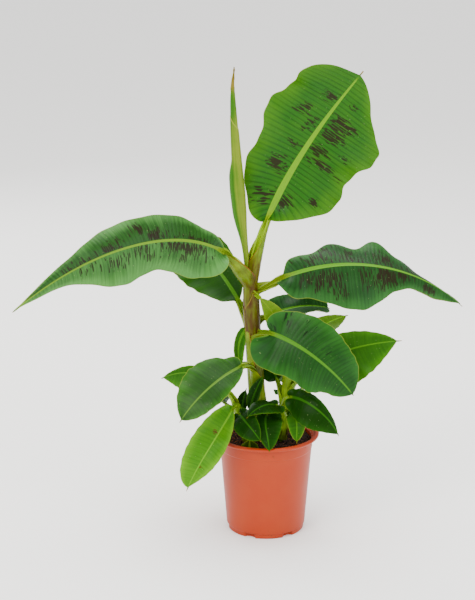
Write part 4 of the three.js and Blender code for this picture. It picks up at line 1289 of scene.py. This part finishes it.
@dataclass
class RolledLeaf:
    """The new leaf, rolled into a spear.

    Its outer wrap ends below the tip in a slanting edge, `tops` lists how far up each turn reaches from
    the innermost to the outermost, and its free margin stands off the roll as a flap near the foot.
    """

    length: float = 356
    heading: float = 165
    rise: float = 82.5
    fall: float = 88
    girth: tuple[float, ...] = (5.6, 5.4, 7, 9.8, 11, 10, 9, 7.8, 6.4, 4.4, 1.4)
    aside: Pair = (-1.5, 1)
    turns: float = 2.2
    tops: tuple[float, ...] = (1, 1, 1, 1, 0.97, 0.9, 0.8, 0.72, 0.7, 0.73, 0.77)
    seam: float = 195
    flap: float = 6
    sheet: float = 0.7
    dry_tip: float = 0.9

    def build(self) -> None:
        """Build the rolled sheet as one closed mesh."""
        finish = BladeFinish("rolled_blade", "2e6204", "6a7c18", "6c8820", "6a7a10", "50701a",
                             margin="8a9430", line=0.5, vein=5.0)
        stem = STEMS["main"]
        foot = stem.centre(stem.top - 6) + np.array([*self.aside, 0.0])
        steps = np.linspace(0, 1, 400)
        pitch = np.radians(self.rise + (self.fall - self.rise) * steps)
        way = direction_of(pitch, math.radians(self.heading))
        line = foot + np.cumsum(way, axis=0) * (self.length + 6) / len(steps)
        line[:, 0] += 4 * smooth(steps, self.dry_tip, 1)
        k = np.linspace(0, 1, 120)[None, :]
        top = np.interp(k, np.linspace(0, 1, len(self.tops)), self.tops)
        t = np.linspace(0, 1, 240)[:, None] * top
        middle = np.stack([np.interp(t, steps, line[:, axis]) for axis in range(3)], axis=-1)
        radius = np.interp(t, np.linspace(0, 1, len(self.girth)), self.girth)
        free = smooth(k, 0.94, 1) * smooth(t, 0.12, 0.3) * (1 - smooth(t, 0.46, 0.57))
        ragged = 0.3 * lumps(np.stack([t * 60, k + 0 * t], axis=-1), 1.5, 9) * smooth(t, 0.84, 0.9)
        out = radius * (0.72 + 0.28 * k) + self.flap * free + ragged * (radius > 1.5)
        angle = math.radians(self.seam) + 2 * math.pi * self.turns * (1 - k) - 0.5 * free
        out_x, out_y = out * np.cos(angle), out * np.sin(angle)
        thin = (out - np.minimum(self.sheet, 0.3 * radius)) / out
        outer = middle + np.stack([out_x, out_y, 0 * out], axis=-1)
        inner = middle + np.stack([out_x * thin, out_y * thin, 0 * out], axis=-1)
        rings = np.concatenate([outer, inner[:, ::-1]], axis=1)
        wound = 2 * math.pi * self.turns * self.girth[3] * k
        flat = np.stack([wound + 0 * t, t * self.length], axis=-1) * MM
        edge = smooth(k, 0.985, 1) + smooth(t / top, 0.985, 1) * smooth(k, 0.5, 0.7)
        marks = {
            "margin": np.clip(edge, 0, 1) * (1 - smooth(t, 0.85, 0.9)),
            # Painted light and shade: round the roll, the side towards +X is lighter and the far side darker,
            # to give it roundness. The mark is also lower above 0.7 of the length and on the free flap, which
            # darkens them.
            "tone": np.clip(0.75 + 0.4 * np.cos(angle) - 0.6 * smooth(t, 0.7, 0.8) - 1.5 * free, -0.4, 1),
            "brown": smooth(t, self.dry_tip - 0.03, self.dry_tip + 0.02) * 0.8,
        }
        marks = {name: np.concatenate([values, values[:, ::-1]], axis=1) for name, values in marks.items()}
        chart = np.concatenate([flat, flat[:, ::-1]], axis=1)
        settle(mesh_piece("spear", rings, finish.material(), marks, chart), "new_leaf", "rolled_leaf")


# Pot and soil


@dataclass
class Pot:
    """The nursery pot: rolled lip, step, tapered wall and a foot ring with notches."""

    height: float = 180
    rim_radius: float = 95
    lip_height: float = 6
    mouth_radius: float = 87.5
    shoulder_radius: float = 84.5
    heel_radius: float = 70.5
    wall: float = 2.5
    floor: float = 9.5
    step_drop: float = 28
    step_proud: float = 0.8
    foot_radius: float = 68.5
    foot_height: float = 8
    notches: int = 6
    notch_width: float = 20
    notch_depth: float = 7
    first_notch: float = 35
    sides: int = 240

    def wall_radius(self, z: float) -> float:
        """Give the outside of the wall at the height z."""
        share = (z - self.foot_height) / (self.height - self.lip_height)
        return self.heel_radius + (self.shoulder_radius - self.heel_radius) * share

    def outline(self) -> list[tuple[float, float, float]]:
        """List the section's corners from the middle of the underside round to the middle of the floor.

        Returns:
            Radius, height and the radius of the corner's rounding.
        """
        lip = self.height - self.lip_height
        step = self.height - self.step_drop
        shoulder = self.wall_radius(lip)
        return [
            (1, 0, 0),
            (self.foot_radius, 0, 1),
            (self.foot_radius, self.foot_height, 0.6),
            (self.wall_radius(self.foot_height), self.foot_height + 1, 1.2),
            (self.wall_radius(step), step, 0.5),
            (self.wall_radius(step) + self.step_proud, step + 1, 0.5),
            (shoulder + self.step_proud, lip, 1),
            (self.rim_radius - 1.5, lip, 0.8),
            (self.rim_radius, lip + 2, 1),
            (self.rim_radius, self.height - 2, 2.5),
            (self.rim_radius - 3, self.height, 2),
            (self.mouth_radius + 1, self.height, 1.2),
            (self.mouth_radius - 1, lip, 2),
            (shoulder - self.wall, lip - 2, 2),
            (self.wall_radius(self.floor) - self.wall, self.floor, 2),
            (1, self.floor, 0),
        ]

    def section(self) -> np.ndarray:
        """Round the outline's corners and fill its long runs with points.

        Returns:
            The radius and the height of each point.
        """
        corners = self.outline()
        points: list[tuple[float, float]] = []
        for i, (r, z, blend) in enumerate(corners):
            here = np.array([r, z])
            if blend == 0 or i in (0, len(corners) - 1):
                points.append((r, z))
                continue
            before = np.array(corners[i - 1][:2]) - here
            after = np.array(corners[i + 1][:2]) - here
            reach = min(blend, 0.45 * np.linalg.norm(before), 0.45 * np.linalg.norm(after))
            a, b = here + unit(before) * reach, here + unit(after) * reach
            for t in np.linspace(0, 1, 5):
                points.append(tuple((1 - t) ** 2 * a + 2 * t * (1 - t) * here + t ** 2 * b))
        filled = [np.array(points[0])]
        for start, stop in zip(points, points[1:]):
            gap = np.subtract(stop, start)
            for t in np.linspace(0, 1, max(2, int(np.linalg.norm(gap) / 6)))[1:]:
                filled.append(np.array(start) + gap * t)
        return np.array(filled)

    def build(self) -> None:
        """Build the pot as one closed mesh."""
        section = self.section()
        angle = np.linspace(0, 2 * math.pi, self.sides, endpoint=False)
        pitch = 2 * math.pi / self.notches
        from_notch = (angle + math.pi / 2 - math.radians(self.first_notch) + pitch / 2) % pitch - pitch / 2
        across = np.abs(from_notch) * self.foot_radius / (self.notch_width / 2)
        bite = self.notch_depth * np.sqrt(np.maximum(0, 1 - across ** 2))
        radius = np.repeat(section[:, :1], self.sides, axis=1)
        in_foot = (section[:, 1] < self.foot_height + 0.2) & (section[:, 0] > self.foot_radius - 12)
        radius[in_foot] = np.minimum(radius[in_foot], self.foot_radius - bite)
        height = np.repeat(section[:, 1:], self.sides, axis=1)
        rings = np.stack([radius * np.cos(angle), radius * np.sin(angle), height], axis=-1)
        piece = mesh_piece("nursery_pot", rings, PotFinish().material())
        settle(piece, "pot", "pot")


@dataclass
class Soil:
    """Peat with a lumpy top, crumbs and fibres.

    It fills the pot's inside from the height `low`, with the radius `inside_low` there and `inside_top`
    at its top. `crumbs` and `fibres` are how many there are on each square metre.
    """

    low: float = 10.5
    inside_low: float = 67.4
    inside_top: float = 80.2
    crumbs: float = 110000
    crumb_size: float = 1.6
    fibres: float = 16000
    fibre_length: float = 11
    fibre_radius: float = 0.32

    def scatter(self) -> Tree:
        """Make the tree that strews crumbs and fibres on the top of the soil.

        Returns:
            A tree whose inputs are how many there are on each square metre, their sizes in metres, the
            seed and the two materials.
        """
        tree, given = geometry_tree("soil_litter", {
            "Soil": "Geometry", "Crumbs": "Float", "Crumb size": "Float", "Fibres": "Float",
            "Fibre length": "Float", "Seed": "Int", "Peat": "Material", "Fibre": "Material"}, "Litter")
        seed = given["Seed"]
        parts = node(tree, "ShaderNodeSeparateXYZ", {0: node(tree, "GeometryNodeInputNormal")})
        place = node(tree, "GeometryNodeInputPosition")
        level = node(tree, "ShaderNodeSeparateXYZ", {0: place})
        upward = node(tree, "FunctionNodeCompare", {0: parts.outputs[2], 1: 0.5}, operation="GREATER_THAN")
        high = node(tree, "FunctionNodeCompare", {
            0: level.outputs[2], 1: (SOIL_TOP - 12) * MM}, operation="GREATER_THAN")
        top = node(tree, "FunctionNodeBooleanMath", {0: upward, 1: high}, operation="AND")
        full = 6.283
        turn = node(tree, "FunctionNodeRandomValue", {
            "Min": (0.0, 0.0, 0.0), "Max": (full, full, full), "Seed": seed}, data_type="FLOAT_VECTOR")
        sizes = node(tree, "FunctionNodeRandomValue", {2: 0.35, 3: 1.9, "Seed": seed}, data_type="FLOAT")
        flat = node(tree, "FunctionNodeRandomValue", {
            "Min": (-0.3, -0.3, 0.0), "Max": (0.3, 0.3, full), "Seed": seed}, data_type="FLOAT_VECTOR")
        crumb = node(tree, "GeometryNodeMeshIcoSphere", {"Radius": given["Crumb size"], "Subdivisions": 1})
        squash = node(tree, "ShaderNodeVectorMath", {0: place, 1: (0.5, -0.2, -0.35)}, operation="MULTIPLY")
        fleck = node(tree, "GeometryNodeSetPosition", {"Geometry": crumb, "Offset": squash})
        bow = node(tree, "GeometryNodeCurvePrimitiveBezierSegment", {
            "Resolution": 5, "Start": (-0.5, 0.0, -0.05), "Start Handle": (-0.2, 0.3, 0.12),
            "End Handle": (0.2, -0.3, 0.12), "End": (0.5, 0.1, -0.05)})
        size = node(tree, "ShaderNodeCombineXYZ", dict.fromkeys(range(3), given["Fibre length"]))
        long = node(tree, "GeometryNodeTransform", {"Geometry": bow, "Scale": size})
        wire = node(tree, "GeometryNodeCurvePrimitiveCircle", {
            "Resolution": 4, "Radius": self.fibre_radius * MM})
        strand = node(tree, "GeometryNodeCurveToMesh", {
            "Curve": long, "Profile Curve": wire, "Fill Caps": True})
        kinds = (
            (fleck, given["Crumbs"], turn, given["Peat"]),
            (strand, given["Fibres"], flat, given["Fibre"]),
        )
        joined = node(tree, "GeometryNodeJoinGeometry")
        for shape, count, rotation, material in kinds:
            points = node(tree, "GeometryNodeDistributePointsOnFaces", {
                "Mesh": given["Soil"], "Selection": top, "Density": count, "Seed": seed})
            strewn = node(tree, "GeometryNodeInstanceOnPoints", {
                "Points": points, "Instance": shape, "Rotation": rotation, "Scale": sizes.outputs[1]})
            solid = node(tree, "GeometryNodeRealizeInstances", {"Geometry": strewn})
            dressed = node(tree, "GeometryNodeSetMaterial", {"Geometry": solid, "Material": material})
            feed(joined, {0: dressed})
        node(tree, "NodeGroupOutput", {"Litter": joined})
        return tree

    def body(self, material: Material) -> Piece:
        """Build the soil's solid with its lumpy top.

        Args:
            material: the peat.

        Returns:
            One closed mesh.
        """
        angle = np.linspace(0, 2 * math.pi, 160, endpoint=False)[None, :]
        wall = np.array([[1.0, self.low], [self.inside_low, self.low], [self.inside_top, SOIL_TOP - 2]])
        ring = np.linspace(self.inside_top, 1, 56)[:, None]
        x, y = ring * np.cos(angle), ring * np.sin(angle)
        flat = np.stack([x, y], axis=-1)
        lumpy = 1.6 * lumps(flat, 26, 3) + 0.9 * lumps(flat, 9, 4) + 0.35 * lumps(flat, 4, 5)
        top = SOIL_TOP - 0.5 + lumpy * (1 - smooth(ring, self.inside_top - 4, self.inside_top))
        cap = np.stack([x, y, top], axis=-1)
        radius, level = wall[:, :1], wall[:, 1:] + 0 * angle
        sides = np.stack([radius * np.cos(angle), radius * np.sin(angle), level], axis=-1)
        return mesh_piece("soil_body", np.concatenate([sides, cap]), material)

    def build(self) -> None:
        """Build the soil and what lies on it."""
        peat = PeatFinish("moist_peat", "1e0f06", "4a2810").material()
        fibre = PeatFinish("coir_and_bark_fibre", "6a3210", "96541e").material()
        body = self.body(peat)
        litter = add("soil_litter", body.data.copy())
        grow(litter, self.scatter(), {
            "Crumbs": self.crumbs, "Crumb size": self.crumb_size * MM, "Fibres": self.fibres,
            "Fibre length": self.fibre_length * MM, "Seed": 7, "Peat": peat, "Fibre": fibre})
        settle(body, "soil", "potting_soil")
        settle(litter, "soil")


# Studio


@dataclass
class Studio:
    """The camera, the pale floor and the soft lights."""

    camera_place: tuple[float, float, float] = (-0.05109, -3.0, 1.2865)
    camera_dip: float = 16.04
    lens: float = 106.74

    def build(self) -> None:
        """Set up everything that isn't part of the plant."""
        lens = bpy.data.cameras.new("camera")
        lens.lens = self.lens
        lens.sensor_width = 36
        lens.sensor_fit = "AUTO"
        camera = add("camera", lens)
        camera.location = self.camera_place
        camera.rotation_euler = (math.radians(90 - self.camera_dip), 0, 0)
        bpy.context.scene.camera = camera
        paint, _, shader = start_material("matt_white_paint")
        feed(shader, {"Base Color": linear("f4f3f0"), "Roughness": 0.9})
        mesh = bpy.data.meshes.new("floor")
        reach = 14.0
        mesh.from_pydata([(-reach, -reach, 0), (reach, -reach, 0), (reach, reach, 0), (-reach, reach, 0)], [],
                         [(0, 1, 2, 3)])
        mesh.materials.append(paint)
        floor = add("floor", mesh)
        lamps = (
            ("key", (-1.5, -2.0, 2.3), 1.6, 80, "fff9f0"),
            ("fill", (2.0, -1.8, 1.2), 1.8, 34, "f4f8ff"),
            ("top", (0.3, 0.6, 2.6), 1.8, 62, "ffffff"),
            ("back", (-1.2, 2.2, 1.5), 1.5, 28, "ffffff"),
        )
        for name, place, size, power, colour in lamps:
            light = bpy.data.lights.new(name, "AREA")
            light.size = size
            light.energy = power
            light.color = linear(colour)[:3]
            lamp = add(name, light)
            lamp.location = place
            aim = Vector((0, 0, 0.4)) - Vector(place)
            lamp.rotation_euler = aim.to_track_quat("-Z", "Y").to_euler()
        world = bpy.data.worlds.new("studio")
        world.use_nodes = True
        # Dark flags round the studio keep its white walls out of the leaves' sheen.
        rays = node(world.node_tree, "ShaderNodeLightPath")
        glow = node(world.node_tree, "ShaderNodeMapRange", {
            0: rays.outputs["Is Glossy Ray"], 3: 1.8, 4: 0.5})
        feed(world.node_tree.nodes["Background"], {"Color": linear("ffffff"), "Strength": glow})
        bpy.context.scene.world = world


def main() -> None:
    """Build the plant around its frame."""
    logging.basicConfig(level=logging.INFO, format="%(name)s: %(message)s")
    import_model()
    for part in (Studio(), Pot(), Soil(), Stems(), Sheaths(), RolledLeaf(), Foliage()):
        LOG.info("building %s", type(part).__name__)
        part.build()


if __name__ == "__main__":
    main()
